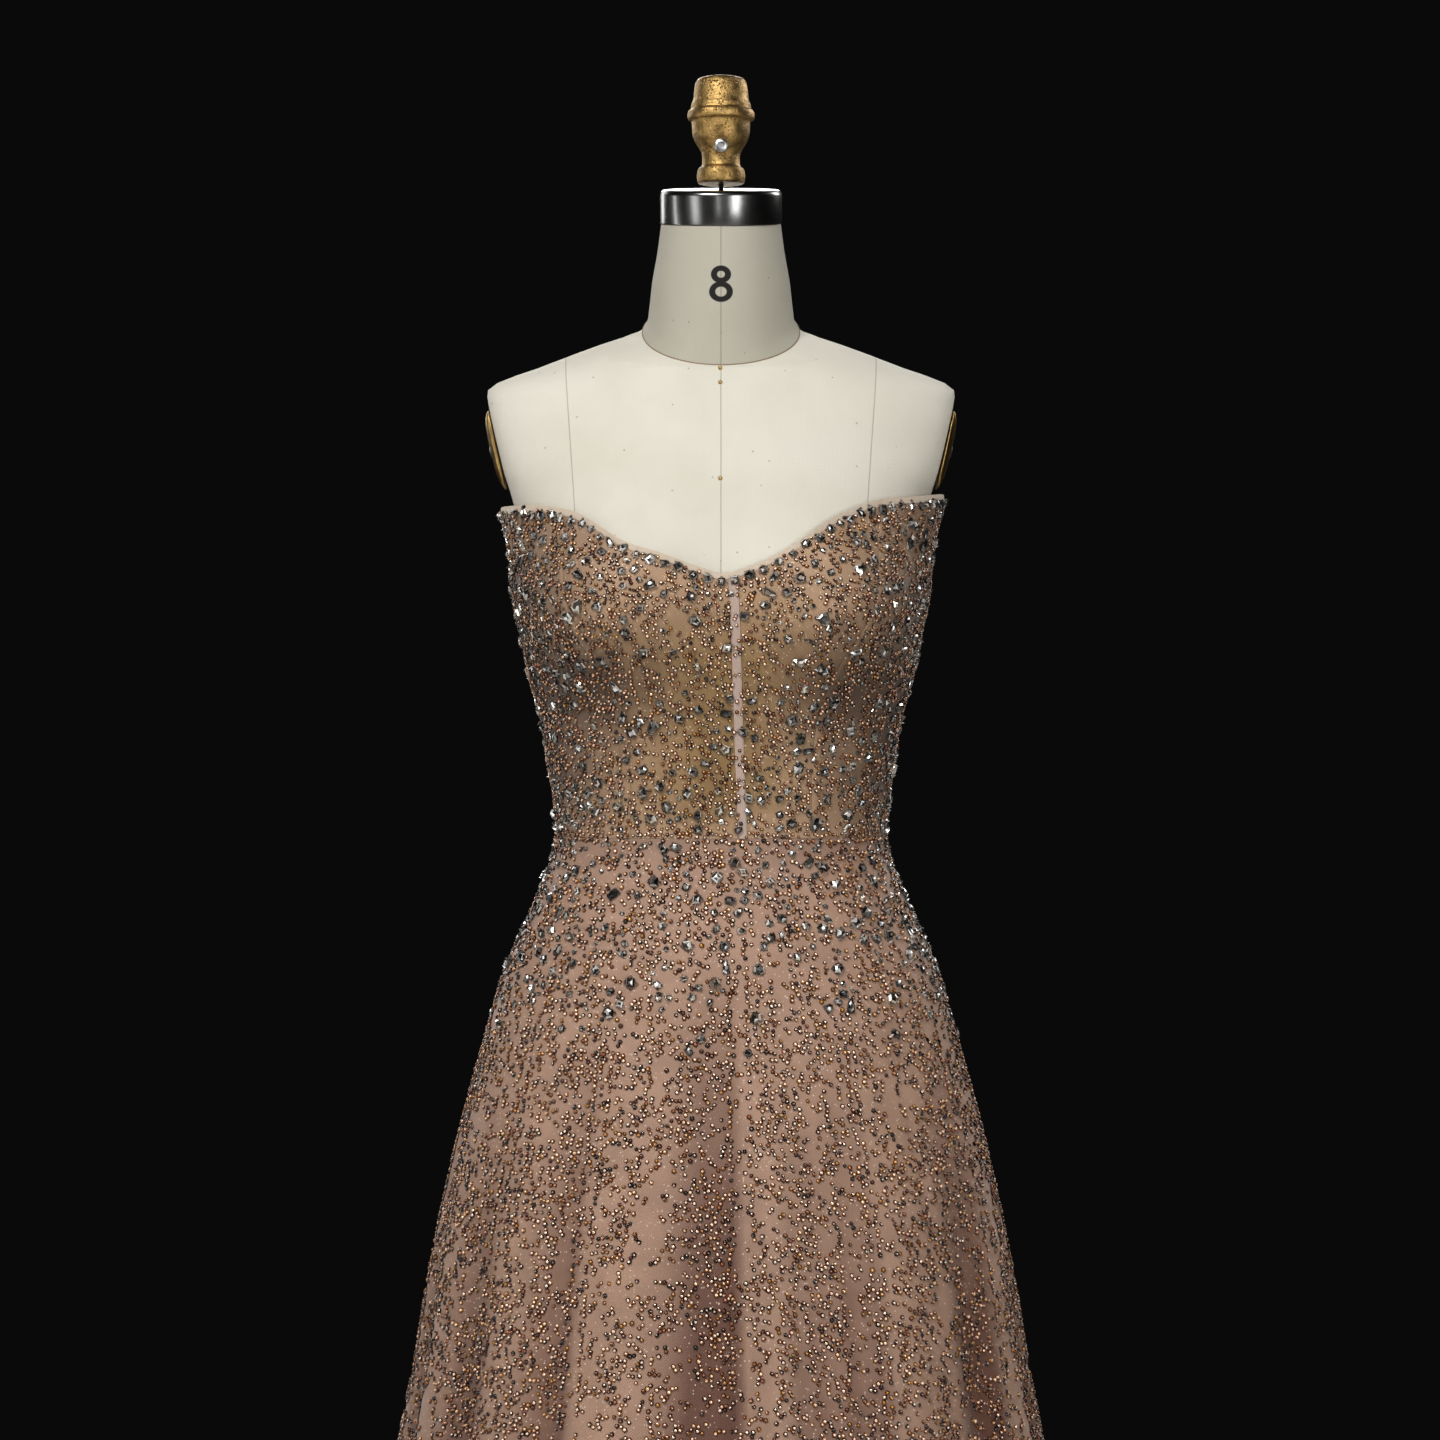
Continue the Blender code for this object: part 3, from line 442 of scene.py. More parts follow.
@dataclass(frozen=True)
class PlainWeave:
    """Woven ribbon or tape: close straight threads, a soft satin sheen and slight changes of tone."""

    name: str
    colour: str
    thread: str
    pitch: float
    roughness: float
    sheen: float = 0.2

    def build(self) -> Material:
        """Makes the material, which reads the piece's cloth map."""
        material, add, shader = new_material(self.name)
        cloth = add("UVMap", uv_map="cloth").outputs[0]
        solid = add("TexCoord").outputs["Object"]
        cloud = add("TexNoise", {"Vector": solid, "Scale": 60.0, "Detail": 3.0})
        weave = thread_mask(add, cloth, self.pitch, 0.0)
        part = add("MapRange", {"Value": cloud, "To Max": 0.5})
        mix = add("Math", {0: weave, 1: part}, operation="MULTIPLY")
        base = add("MixRGB", {"Fac": mix, "Color1": self.colour, "Color2": self.thread})
        bump = add("Bump", {"Height": weave, "Strength": 0.3, "Distance": 0.0002})
        set_inputs(shader, {"Base Color": base, "Normal": bump})
        set_inputs(shader, {"Roughness": self.roughness, "Sheen Weight": self.sheen})
        return material


class Numeral(NamedTuple):
    """A printed 8 made of two rings, one on the other, on the front of the neck."""

    height: float
    lower_drop: float
    lower_half: tuple[float, float]
    upper_rise: float
    upper_half: tuple[float, float]
    stroke: float


@dataclass(frozen=True)
class FormCanvas:
    """Cotton canvas stretched over the form: off-white, matt, a fine square weave and tiny slubs.

    The threads are about 0.5 mm apart and are drawn at pitch so that they show.
    """

    name: str
    colour: str = "#ddd8ca"
    hollow: str = "#c3bba8"
    speck: str = "#5d5142"
    ink: str = "#0d0807"
    pitch: float = 0.0011
    seam_width: float = 0.0006
    princess_foot: float | None = None
    princess_lean: float = 0.0
    princess_height: float = 0.0
    numeral: Numeral | None = None

    def seams(self, add: NodeAdder, axes: Node) -> NodeSocket:
        """Draws the centre front and back seam, and the princess seams where they are given.

        Args:
            add: Adds nodes to the material.
            axes: The node that splits Object coordinates into X, Y and Z.

        Returns:
            A socket that is 1 on the seams.
        """
        away = across = add("Math", {0: axes}, operation="ABSOLUTE")
        if self.princess_foot is not None:
            rise = add("Math", {0: axes.outputs[2], 1: self.princess_height}, operation="SUBTRACT")
            line = {0: rise, 1: self.princess_lean, 2: self.princess_foot}
            lean = add("Math", line, operation="MULTIPLY_ADD")
            gap = add("Math", {0: across, 1: lean}, operation="SUBTRACT")
            side = add("Math", {0: gap}, operation="ABSOLUTE")
            away = add("Math", {0: across, 1: side}, operation="MINIMUM")
        edge = {"Value": away, "From Min": self.seam_width, "From Max": self.seam_width * 0.4}
        return add("MapRange", edge).outputs[0]

    def print_mask(self, add: NodeAdder, solid: NodeSocket) -> NodeSocket:
        """Draws the numeral's two rings on the front.

        Args:
            add: Adds nodes to the material.
            solid: Object coordinates.

        Returns:
            A socket that is 1 where the ink is.
        """
        mark = self.numeral
        rings = []
        for middle, half in (
            (mark.height - mark.lower_drop, mark.lower_half),
            (mark.height + mark.upper_rise, mark.upper_half),
        ):
            spread = (1.0 / half[0], 0.0, 1.0 / half[1])
            shift = (0.0, 0.0, -middle / half[1])
            local = add("Mapping", {"Vector": solid, "Scale": spread, "Location": shift})
            reach = add("VectorMath", {0: local}, operation="LENGTH")
            off = add("Math", {0: reach.outputs["Value"], 1: 1.0}, operation="SUBTRACT")
            away = add("Math", {0: off}, operation="ABSOLUTE")
            share = mark.stroke / 2 / half[1]
            rings.append(add("MapRange", {"Value": away, "From Min": share + 0.04, "From Max": share - 0.04}))
        both = add("Math", {0: rings[0], 1: rings[1]}, operation="MAXIMUM")
        axes = add("SeparateXYZ", {0: solid})
        front = add("Math", {0: axes.outputs[1], 1: 0.0}, operation="LESS_THAN")
        return add("Math", {0: both, 1: front}, operation="MULTIPLY").outputs[0]

    def build(self) -> Material:
        """Makes the material, which reads the piece's cloth map and Object coordinates."""
        material, add, shader = new_material(self.name)
        cloth = add("UVMap", uv_map="cloth").outputs[0]
        solid = add("TexCoord").outputs["Object"]
        axes = add("SeparateXYZ", {0: solid})
        weave = thread_mask(add, cloth, self.pitch, 0.0)
        cloud = add("TexNoise", {"Vector": solid, "Scale": 14.0, "Detail": 5.0})
        wear = add("MapRange", {"Value": cloud, "From Min": 0.4, "From Max": 0.75, "To Max": 0.35})
        base = add("MixRGB", {"Fac": wear, "Color1": self.colour, "Color2": self.hollow})
        thread = add("Math", {0: weave, 1: 0.16}, operation="MULTIPLY")
        woven = add("MixRGB", {"Fac": thread, "Color1": base, "Color2": self.hollow})
        cells = add("TexVoronoi", {"Vector": solid, "Scale": 160.0})
        pick = add("SeparateColor", {0: cells.outputs["Color"]})
        rare = add("Math", {0: pick, 1: 0.93}, operation="GREATER_THAN")
        near = add("MapRange", {"Value": cells.outputs["Distance"], "From Min": 0.16, "From Max": 0.06})
        slub = add("Math", {0: rare, 1: near}, operation="MULTIPLY")
        faint = add("Math", {0: slub, 1: 0.55}, operation="MULTIPLY")
        specked = add("MixRGB", {"Fac": faint, "Color1": woven, "Color2": self.speck})
        seam = self.seams(add, axes)
        dark = add("Math", {0: seam, 1: 0.42}, operation="MULTIPLY")
        colour = add("MixRGB", {"Fac": dark, "Color1": specked, "Color2": self.speck})
        if self.numeral:
            ink = self.print_mask(add, solid)
            colour = add("MixRGB", {"Fac": ink, "Color1": colour, "Color2": self.ink})
        relief = add("Math", {0: seam, 1: -3.0, 2: weave}, operation="MULTIPLY_ADD")
        bump = add("Bump", {"Height": relief, "Strength": 0.4, "Distance": 0.00018})
        set_inputs(shader, {"Base Color": colour, "Normal": bump, "Roughness": 0.86, "Sheen Weight": 0.08})
        return material


@dataclass(frozen=True)
class WorkedMetal:
    """A metal by how it was made: its colour, its dull hollows, its grain and how deep that is."""

    name: str
    colour: str
    hollow: str
    roughness: float
    grain: float
    depth: float
    patina: float = 0.5
    spread: float = 0.12
    pits: float = 0.0

    def build(self) -> Material:
        """Makes the material, which reads Object coordinates."""
        material, add, shader = new_material(self.name)
        solid = add("TexCoord").outputs["Object"]
        fine = add("TexNoise", {"Vector": solid, "Scale": 1.0 / self.grain, "Detail": 6.0})
        broad = add("TexNoise", {"Vector": solid, "Scale": 0.12 / self.grain, "Detail": 4.0})
        dull = add("MapRange", {"Value": broad, "From Min": 0.42, "From Max": 0.68, "To Max": self.patina})
        base = add("MixRGB", {"Fac": dull, "Color1": self.colour, "Color2": self.hollow})
        pit = add("TexVoronoi", {"Vector": solid, "Scale": 0.45 / self.grain})
        depths = {"From Min": 0.05, "From Max": 0.35, "To Min": self.pits, "To Max": 0.0}
        hole = add("MapRange", {"Value": pit.outputs["Distance"], **depths})
        pitted = add("MixRGB", {"Fac": hole, "Color1": base, "Color2": self.hollow})
        low, high = self.roughness - self.spread / 2, self.roughness + self.spread / 2
        gloss = add("MapRange", {"Value": fine, "To Min": low, "To Max": high})
        relief = add("Math", {0: hole, 1: -1.5, 2: fine}, operation="MULTIPLY_ADD")
        bump = add("Bump", {"Height": relief, "Strength": 0.8, "Distance": self.depth})
        set_inputs(shader, {"Base Color": pitted, "Roughness": gloss, "Normal": bump, "Metallic": 1.0})
        return material


@dataclass(frozen=True)
class BeadGlass:
    """Metal-lined seed beads, or foil-backed stones: bright, glossy, each with its own colour.

    The alpha of the colour says how near a point is to the bead's crown, where a highlight is painted in a
    pale colour; towards the rim the glass is painted dark, as painted shade.
    """

    name: str
    metallic: float
    roughness: float
    coat: float
    # The colour of the painted highlight, and how dark the painted shade at the rim gets
    painted_highlight: str = "#ffe0c6"
    rim: float = 0.03

    def build(self) -> Material:
        """Makes the material, which reads the piece's glass colour attribute."""
        material, add, shader = new_material(self.name)
        glass = add("Attribute", attribute_name="glass")
        crown = glass.outputs["Alpha"]
        # Painted shade: the glass darkens towards the rim
        edge = add("MapRange", {"Value": crown, "From Max": 0.30, "To Min": self.rim})
        body = add("VectorMath", {0: glass.outputs["Color"], 3: edge}, operation="SCALE")
        # Painted highlight at the crown, in the pale highlight colour
        painted_glint = add("MapRange", {"Value": crown, "From Min": 0.37, "From Max": 0.50})
        colour = add("MixRGB", {"Fac": painted_glint, "Color1": body, "Color2": self.painted_highlight})
        solid = add("TexCoord").outputs["Object"]
        haze = add("TexNoise", {"Vector": solid, "Scale": 420.0, "Detail": 1.0})
        low, high = self.roughness * 0.6, self.roughness * 1.4
        gloss = add("MapRange", {"Value": haze, "To Min": low, "To Max": high})
        set_inputs(shader, {"Base Color": colour, "Roughness": gloss, "Metallic": self.metallic})
        set_inputs(shader, {"Coat Weight": self.coat, "Coat Roughness": 0.03})
        return material


@dataclass(frozen=True)
class PaintedFloor:
    """Pale matt studio floor with the faintest change of tone."""

    name: str = "pale matt floor paint"
    colour: str = "#cfccc6"
    worn: str = "#c5c2bb"

    def build(self) -> Material:
        """Makes the material, which reads Object coordinates."""
        material, add, shader = new_material(self.name)
        solid = add("TexCoord").outputs["Object"]
        cloud = add("TexNoise", {"Vector": solid, "Scale": 1.6, "Detail": 3.0})
        base = add("MixRGB", {"Fac": cloud, "Color1": self.colour, "Color2": self.worn})
        set_inputs(shader, {"Base Color": base, "Roughness": 0.7})
        return material


# The shapes that the cloth and the form share with the CAD model


@dataclass(frozen=True)
class Loft:
    """Level sections: each row is height, half width, depth to the front and back, squareness."""

    rows: tuple[tuple[float, float, float, float, float], ...]

    def read(self, place_in_row: int, height: Array) -> Array:
        """One of the sections' sizes at a height."""
        return read_table(self.rows, place_in_row, height)

    def radius(self, azimuth: Array, height: Array) -> Array:
        """Distance from the axis to the outline.

        Args:
            azimuth: Azimuths in degrees.
            height: Heights in metres.

        Returns:
            The distances in metres.
        """
        turn = np.radians(azimuth)
        depth = np.where(np.cos(turn) > 0, self.read(2, height), self.read(3, height))
        power = self.read(4, height)
        side = np.abs(np.sin(turn)) / self.read(1, height)
        face = np.abs(np.cos(turn)) / depth
        return (side**power + face**power) ** (-1.0 / power)


TORSO = Loft(
    (
        (0.860, 0.1680, 0.108, 0.120, 2.2),
        (0.900, 0.1755, 0.116, 0.129, 2.2),
        (0.940, 0.1770, 0.119, 0.129, 2.2),
        (0.980, 0.1715, 0.117, 0.121, 2.2),
        (1.016, 0.1580, 0.112, 0.110, 2.2),
        (1.048, 0.1438, 0.105, 0.099, 2.2),
        (1.080, 0.1315, 0.098, 0.090, 2.2),
        (1.100, 0.1277, 0.094, 0.087, 2.2),
        (1.130, 0.1298, 0.095, 0.088, 2.2),
        (1.160, 0.1345, 0.097, 0.092, 2.2),
        (1.192, 0.1393, 0.101, 0.098, 2.2),
        (1.224, 0.1485, 0.106, 0.104, 2.2),
        (1.256, 0.1545, 0.111, 0.108, 2.2),
        (1.288, 0.1615, 0.114, 0.111, 2.2),
        (1.320, 0.1642, 0.112, 0.113, 2.2),
        (1.356, 0.1662, 0.103, 0.113, 2.2),
        (1.372, 0.1705, 0.099, 0.112, 2.1),
        (1.390, 0.1800, 0.094, 0.110, 2.0),
        (1.410, 0.1880, 0.088, 0.107, 1.9),
        (1.430, 0.1925, 0.082, 0.103, 1.9),
        (1.444, 0.1922, 0.077, 0.099, 1.9),
        (1.4528, 0.1908, 0.074, 0.096, 1.9),
        (1.4624, 0.1765, 0.070, 0.092, 1.9),
        (1.4720, 0.1490, 0.067, 0.088, 1.9),
        (1.4816, 0.1238, 0.064, 0.083, 1.9),
        (1.4912, 0.0972, 0.061, 0.078, 2.0),
        (1.4980, 0.0765, 0.059, 0.073, 2.0),
        (1.5040, 0.0640, 0.057, 0.070, 2.0),
        (1.5200, 0.0590, 0.053, 0.067, 2.0),
        (1.5500, 0.0550, 0.047, 0.065, 2.0),
    )
)

SKIRT_LINE = Loft(
    (
        (0.012, 0.3450, 0.322, 0.330, 2.0),
        (0.200, 0.3170, 0.289, 0.296, 2.0),
        (0.400, 0.2860, 0.253, 0.259, 2.0),
        (0.632, 0.2490, 0.207, 0.212, 2.05),
        (0.680, 0.2405, 0.197, 0.202, 2.05),
        (0.744, 0.2310, 0.183, 0.188, 2.05),
        (0.808, 0.2195, 0.168, 0.173, 2.1),
        (0.872, 0.2055, 0.150, 0.157, 2.1),
        (0.904, 0.1975, 0.142, 0.149, 2.1),
        (0.936, 0.1885, 0.134, 0.141, 2.15),
        (0.968, 0.1795, 0.127, 0.133, 2.2),
        (0.984, 0.1750, 0.1240, 0.1275, 2.2),
        (1.016, 0.1615, 0.1165, 0.1150, 2.2),
        (1.048, 0.1475, 0.1092, 0.1035, 2.2),
        (1.080, 0.1352, 0.1015, 0.0937, 2.2),
        (1.100, 0.1310, 0.0973, 0.0903, 2.2),
    )
)


class Bust(NamedTuple):
    """The swell of the bust on each side of the centre front."""

    azimuth: float = 38.0
    height: float = 1.276
    reach: float = 0.0285
    spread: float = 23.0
    spread_up: float = 0.062
    spread_down: float = 0.049


BUST = Bust()


def torso_radius(azimuth: Array, height: Array, pad: float = 0.0) -> Array:
    """The dress form's surface: its sections and the bust, with any padding over the bust.

    Args:
        azimuth: Azimuths in degrees.
        height: Heights in metres.
        pad: Cup padding at the bust's highest point, in metres.

    Returns:
        Distances from the axis in metres.
    """
    across = (np.abs(azimuth) - BUST.azimuth) / BUST.spread
    spread = np.where(height > BUST.height, BUST.spread_up, BUST.spread_down)
    along = (height - BUST.height) / spread
    return TORSO.radius(azimuth, height) + (BUST.reach + pad) * np.exp(-(across**2) - along**2)


class Spot(NamedTuple):
    """Points of a surface with the directions there, each as (count, 3)."""

    centre: Array
    across: Array
    up: Array
    out: Array

    def pick(self, some: Array) -> "Spot":
        """Some of the points."""
        return Spot(*(part[some] for part in self))


def spots(surface: Surface, turn: Array, height: Array) -> Spot:
    """Finds points of a surface and its directions by small steps.

    Args:
        surface: The surface.
        turn: Azimuths or threads in degrees.
        height: Heights in metres.

    Returns:
        The points, and unit directions across, up and out.
    """
    step_turn, step_height = 0.15, 0.0006
    centre = surface(turn, height)
    across = unit(surface(turn + step_turn, height) - surface(turn - step_turn, height))
    up = surface(turn, height + step_height) - surface(turn, height - step_height)
    out = unit(np.cross(across, up))
    return Spot(centre, across, np.cross(out, across), out)


class Pull(NamedTuple):
    """A slight crease of the tight bodice: where it is, its half sizes, its slant and its depth."""

    azimuth: float
    height: float
    half_turn: float
    half_height: float
    slant: float
    depth: float


@dataclass(frozen=True)
class Bodice:
    """The strapless bodice: eight panels, their boning channels and the sheer edge above the beads."""

    clearance: float = 0.0017
    wall: float = 0.0018
    cup_pad: float = 0.0013
    centre_flare: float = 0.0012
    corner_flare: float = 0.0062
    flare_start: float = 1.305
    flare_rise: float = 0.050
    shell: float = 0.0010
    rows: int = 66
    column: float = 0.0036
    channel_width: float = 0.0070
    channel_lift: float = 0.0016
    channel_crown: float = 0.55
    channel_shell: float = 0.0006
    channel_columns: int = 7
    edging_height: float = 0.0050
    edging_columns: int = 541
    edging_shell: float = 0.0004

    NECKLINE = (
        (-180.0, 1.3350), (-150.0, 1.3380), (-120.0, 1.3470), (-90.0, 1.3555), (-78.0, 1.3555),
        (-61.0, 1.3534), (-50.0, 1.3476), (-42.0, 1.3380), (-32.0, 1.3245), (-20.0, 1.3145),
        (-8.0, 1.3045), (0.5, 1.2995), (9.5, 1.3040), (23.0, 1.3190), (35.0, 1.3380), (46.0, 1.3505),
        (57.0, 1.3588), (69.0, 1.3620), (85.0, 1.3660), (120.0, 1.3520), (150.0, 1.3400), (180.0, 1.3350),
    )
    # Height, then the azimuths of the centre, princess, side and back seams
    SEAMS = (
        (1.100, 9.9, 41.6, 90.0, 138.4),
        (1.180, 7.6, 40.0, 90.0, 140.0),
        (1.240, 5.9, 42.0, 90.0, 141.5),
        (1.290, 4.6, 48.0, 90.0, 143.0),
        (1.360, 3.0, 57.0, 90.0, 144.0),
    )
    PANELS = (
        ("bodice_back_left", -4, -3),
        ("bodice_side_back_left", -3, -2),
        ("bodice_side_front_left", -2, -1),
        ("bodice_front_left", -1, 0),
        ("bodice_front_right", 0, 1),
        ("bodice_side_front_right", 1, 2),
        ("bodice_side_back_right", 2, 3),
        ("bodice_back_right", 3, 4),
    )
    CHANNELS = (
        ("channel_back_left", -3, 0.0),
        ("channel_side_left", -2, 11.0),
        ("channel_princess_left", -1, 0.0),
        ("channel_centre_front", 0, 0.0),
        ("channel_princess_right", 1, 0.0),
        ("channel_side_right", 2, -11.0),
        ("channel_back_right", 3, 0.0),
    )
    PULLS = tuple(Pull(*row) for row in (
        (-172.0, 1.122, 16.0, 0.0035, 0.0003, -0.0007), (-146.0, 1.147, 20.0, 0.0042, -0.0002, 0.0008),
        (-118.0, 1.128, 18.0, 0.0034, 0.0004, -0.0008), (-97.0, 1.163, 15.0, 0.0046, -0.0005, 0.0009),
        (-84.0, 1.136, 17.0, 0.0032, 0.0004, -0.0007), (-70.0, 1.183, 13.0, 0.0040, 0.0006, 0.0007),
        (-58.0, 1.118, 12.0, 0.0030, -0.0003, 0.0007), (-33.0, 1.131, 11.0, 0.0032, 0.0003, -0.0006),
        (-14.0, 1.117, 9.0, 0.0028, -0.0002, 0.0005), (12.0, 1.127, 9.0, 0.0030, 0.0003, 0.0005),
        (29.0, 1.119, 12.0, 0.0032, -0.0002, -0.0006), (55.0, 1.140, 13.0, 0.0036, -0.0005, 0.0008),
        (74.0, 1.121, 15.0, 0.0034, 0.0003, -0.0007), (88.0, 1.171, 16.0, 0.0044, -0.0005, 0.0009),
        (109.0, 1.132, 17.0, 0.0036, 0.0003, -0.0008), (137.0, 1.152, 19.0, 0.0042, 0.0002, 0.0008),
        (165.0, 1.119, 17.0, 0.0034, -0.0003, -0.0007),
    ))

    def top(self, azimuth: Array) -> Array:
        """Height of the neckline."""
        return read_table(self.NECKLINE, 1, azimuth)

    def seam(self, number: int, height: Array) -> Array:
        """Azimuth of a seam: 0 at the centre front, 4 at the zip, and negative at the left."""
        if abs(number) == 4:
            return np.full(np.shape(height), math.copysign(180.0, number))
        sign = -1.0 if number < 0 else 1.0
        return sign * read_table(self.SEAMS, 1 + abs(number), height)

    def crease(self, azimuth: Array, height: Array) -> Array:
        """How far the slight creases near the waist stand out."""
        total = np.zeros(np.broadcast(azimuth, height).shape)
        for pull in self.PULLS:
            away = apart(azimuth, pull.azimuth)
            rise = (height - pull.height - pull.slant * away) / pull.half_height
            total = total + pull.depth * np.exp(-((away / pull.half_turn) ** 2) - rise**2)
        return total

    def radius(self, azimuth: Array, height: Array) -> Array:
        """The outer face, which stands off the form a little more towards its top corners."""
        rise = ramp(height - self.flare_start, self.flare_rise)
        side = np.sin(np.radians(azimuth)) ** 2
        flare = self.centre_flare + (self.corner_flare - self.centre_flare) * side
        stand_off = self.clearance + self.wall + flare * rise**2
        return torso_radius(azimuth, height, self.cup_pad) + stand_off

    def point(self, azimuth: Array, height: Array) -> Array:
        """Points of the outer face, with its creases."""
        return place(azimuth, self.radius(azimuth, height) + self.crease(azimuth, height), height)

    def panel_grid(self, start: int, end: int) -> tuple[Array, Array]:
        """Lays rows and columns over a panel.

        Args:
            start: Number of the seam at its left.
            end: Number of the seam at its right.

        Returns:
            The azimuths and the heights of the grid's points.
        """
        middle = np.full((1, 1), (WAIST + USUAL_TOP) / 2)
        left, right = self.seam(start, middle), self.seam(end, middle)
        width = np.radians(right - left) * self.radius((left + right) / 2, middle)
        columns = int(width[0, 0] / self.column) + 1
        share = np.linspace(0.0, 1.0, self.rows + 1)[:, None]
        across = np.linspace(0.0, 1.0, columns + 1)[None, :]
        height = np.full((self.rows + 1, columns + 1), WAIST)
        for _ in range(4):
            left, right = self.seam(start, height), self.seam(end, height)
            half_gap = np.degrees(SEAM_GAP / 2 / torso_radius(left, height))
            azimuth = left + half_gap + (right - left - 2 * half_gap) * across
            height = WAIST + SEAM_GAP / 2 + (self.top(azimuth) - WAIST) * share
        return azimuth, height

    def tone(self, azimuth: Array, height: Array) -> Array:
        """How far the ground turns from pale to tan: most at the middle front under the bust."""
        low = ramp(1.305 - height, 0.07) * ramp(height - 1.095, 0.035)
        return np.clip(0.15 + 0.8 * bell(azimuth, 34.0) * low, 0.0, 1.0)

    def shade(self, azimuth: Array, height: Array) -> Array:
        """How far the ground is darkened by painted shade: at the sides, where the light falls off and the
        beads lie close, and as a painted shadow under the bust.
        """
        side = ramp(np.abs(azimuth) - 34.0, 38.0)
        back = ramp(np.abs(azimuth) - 125.0, 40.0)
        under = bell(np.abs(azimuth) - 40.0, 20.0) * bell(height - 1.215, 0.035)
        # The painted shade eases towards the waist and the top edge, and the back is shaded less than the
        # sides
        low = 0.45 + 0.55 * ramp(height - WAIST, 0.05)
        high = 1.0 - 0.45 * ramp(height - 1.290, 0.035)
        return np.clip((0.88 * side - 0.30 * back) * low * high + 0.62 * under, 0.0, 0.92)

    def marks(self, azimuth: Array, height: Array) -> dict[str, Array]:
        """What the net's material reads at each point."""
        return {"tone": self.tone(azimuth, height), "shade": self.shade(azimuth, height)}

    def build_panels(self, cloth: Material) -> None:
        """Builds the eight panels, each a thin shell on its solid's outer face."""
        for name, start, end in self.PANELS:
            azimuth, height = self.panel_grid(start, end)
            sew_sheet(
                ("cloth_" + name, name), self.point(azimuth, height), cloth, Slot.BODICE, (self.shell, 60.0),
                self.marks(azimuth, height),
            )

    def build_channels(self, satin: Material, cloth: Material) -> None:
        """Builds the boning channels: satin at the centre front, and under the net elsewhere."""
        share = np.linspace(0.0, 1.0, self.rows + 1)
        across = np.linspace(-1.0, 1.0, self.channel_columns)[None, :]
        for name, seam, shift in self.CHANNELS:
            height = np.full(self.rows + 1, WAIST)
            for _ in range(4):
                azimuth = self.seam(seam, height) + shift
                height = WAIST + SEAM_GAP / 2 + (self.top(azimuth) - WAIST) * share
            half_turn = np.degrees(self.channel_width / 2 / self.radius(azimuth, height))[:, None]
            turns = azimuth[:, None] + half_turn * across
            rows = np.repeat(height[:, None], self.channel_columns, axis=1)
            crown = self.channel_lift * (1.0 - self.channel_crown * across**4)
            sew_sheet(
                ("tape_" + name, name), place(turns, self.radius(turns, rows) + crown, rows),
                cloth if seam else satin, Slot.TAPE, (self.channel_shell, 50.0),
                self.marks(turns, rows),
            )

    def build_edging(self, tulle: Material) -> None:
        """Builds the sheer edge that stands above the beads, slightly waved by its stitches."""
        gap = math.degrees(SEAM_GAP / 2 / ZIP_REACH)
        azimuth = np.linspace(gap - 180.0, 180.0 - gap, self.edging_columns)[None, :]
        share = np.linspace(0.0, 1.0, 5)[:, None]
        foot = self.top(azimuth) + SEAM_GAP * 1.5
        height = foot + self.edging_height * share
        wave = 0.00022 * np.sin(np.radians(azimuth) * 151.0) * share
        outer = self.radius(azimuth, foot) + wave - 0.0003 * share**2
        sew_sheet(
            ("tulle_neck_edging", "neck_binding"), place(azimuth, outer, height), tulle, Slot.EDGING,
            (self.edging_shell, 60.0),
        )

    def lift(self, azimuth: Array, height: Array) -> Array:
        """How far a channel raises what is sewn on at a place."""
        lift = np.zeros(np.shape(azimuth))
        reach = np.degrees((self.channel_width / 2 + 0.0004) / self.radius(azimuth, height))
        for _, seam, shift in self.CHANNELS:
            away = np.abs(azimuth - self.seam(seam, height) - shift)
            lift = np.where(away < reach, self.channel_lift * 0.9, lift)
        return lift


class Fold(NamedTuple):
    """A soft fold of the skirt: thread at its crest, half widths, crest at the hem, start height."""

    thread: float
    left: float
    right: float
    crest: float
    start: float


class Crease(NamedTuple):
    """A small crease: thread, half width, height of its ridge, its upper and lower end, its sway."""

    thread: float
    half: float
    ridge: float
    top: float
    foot: float
    sway: float


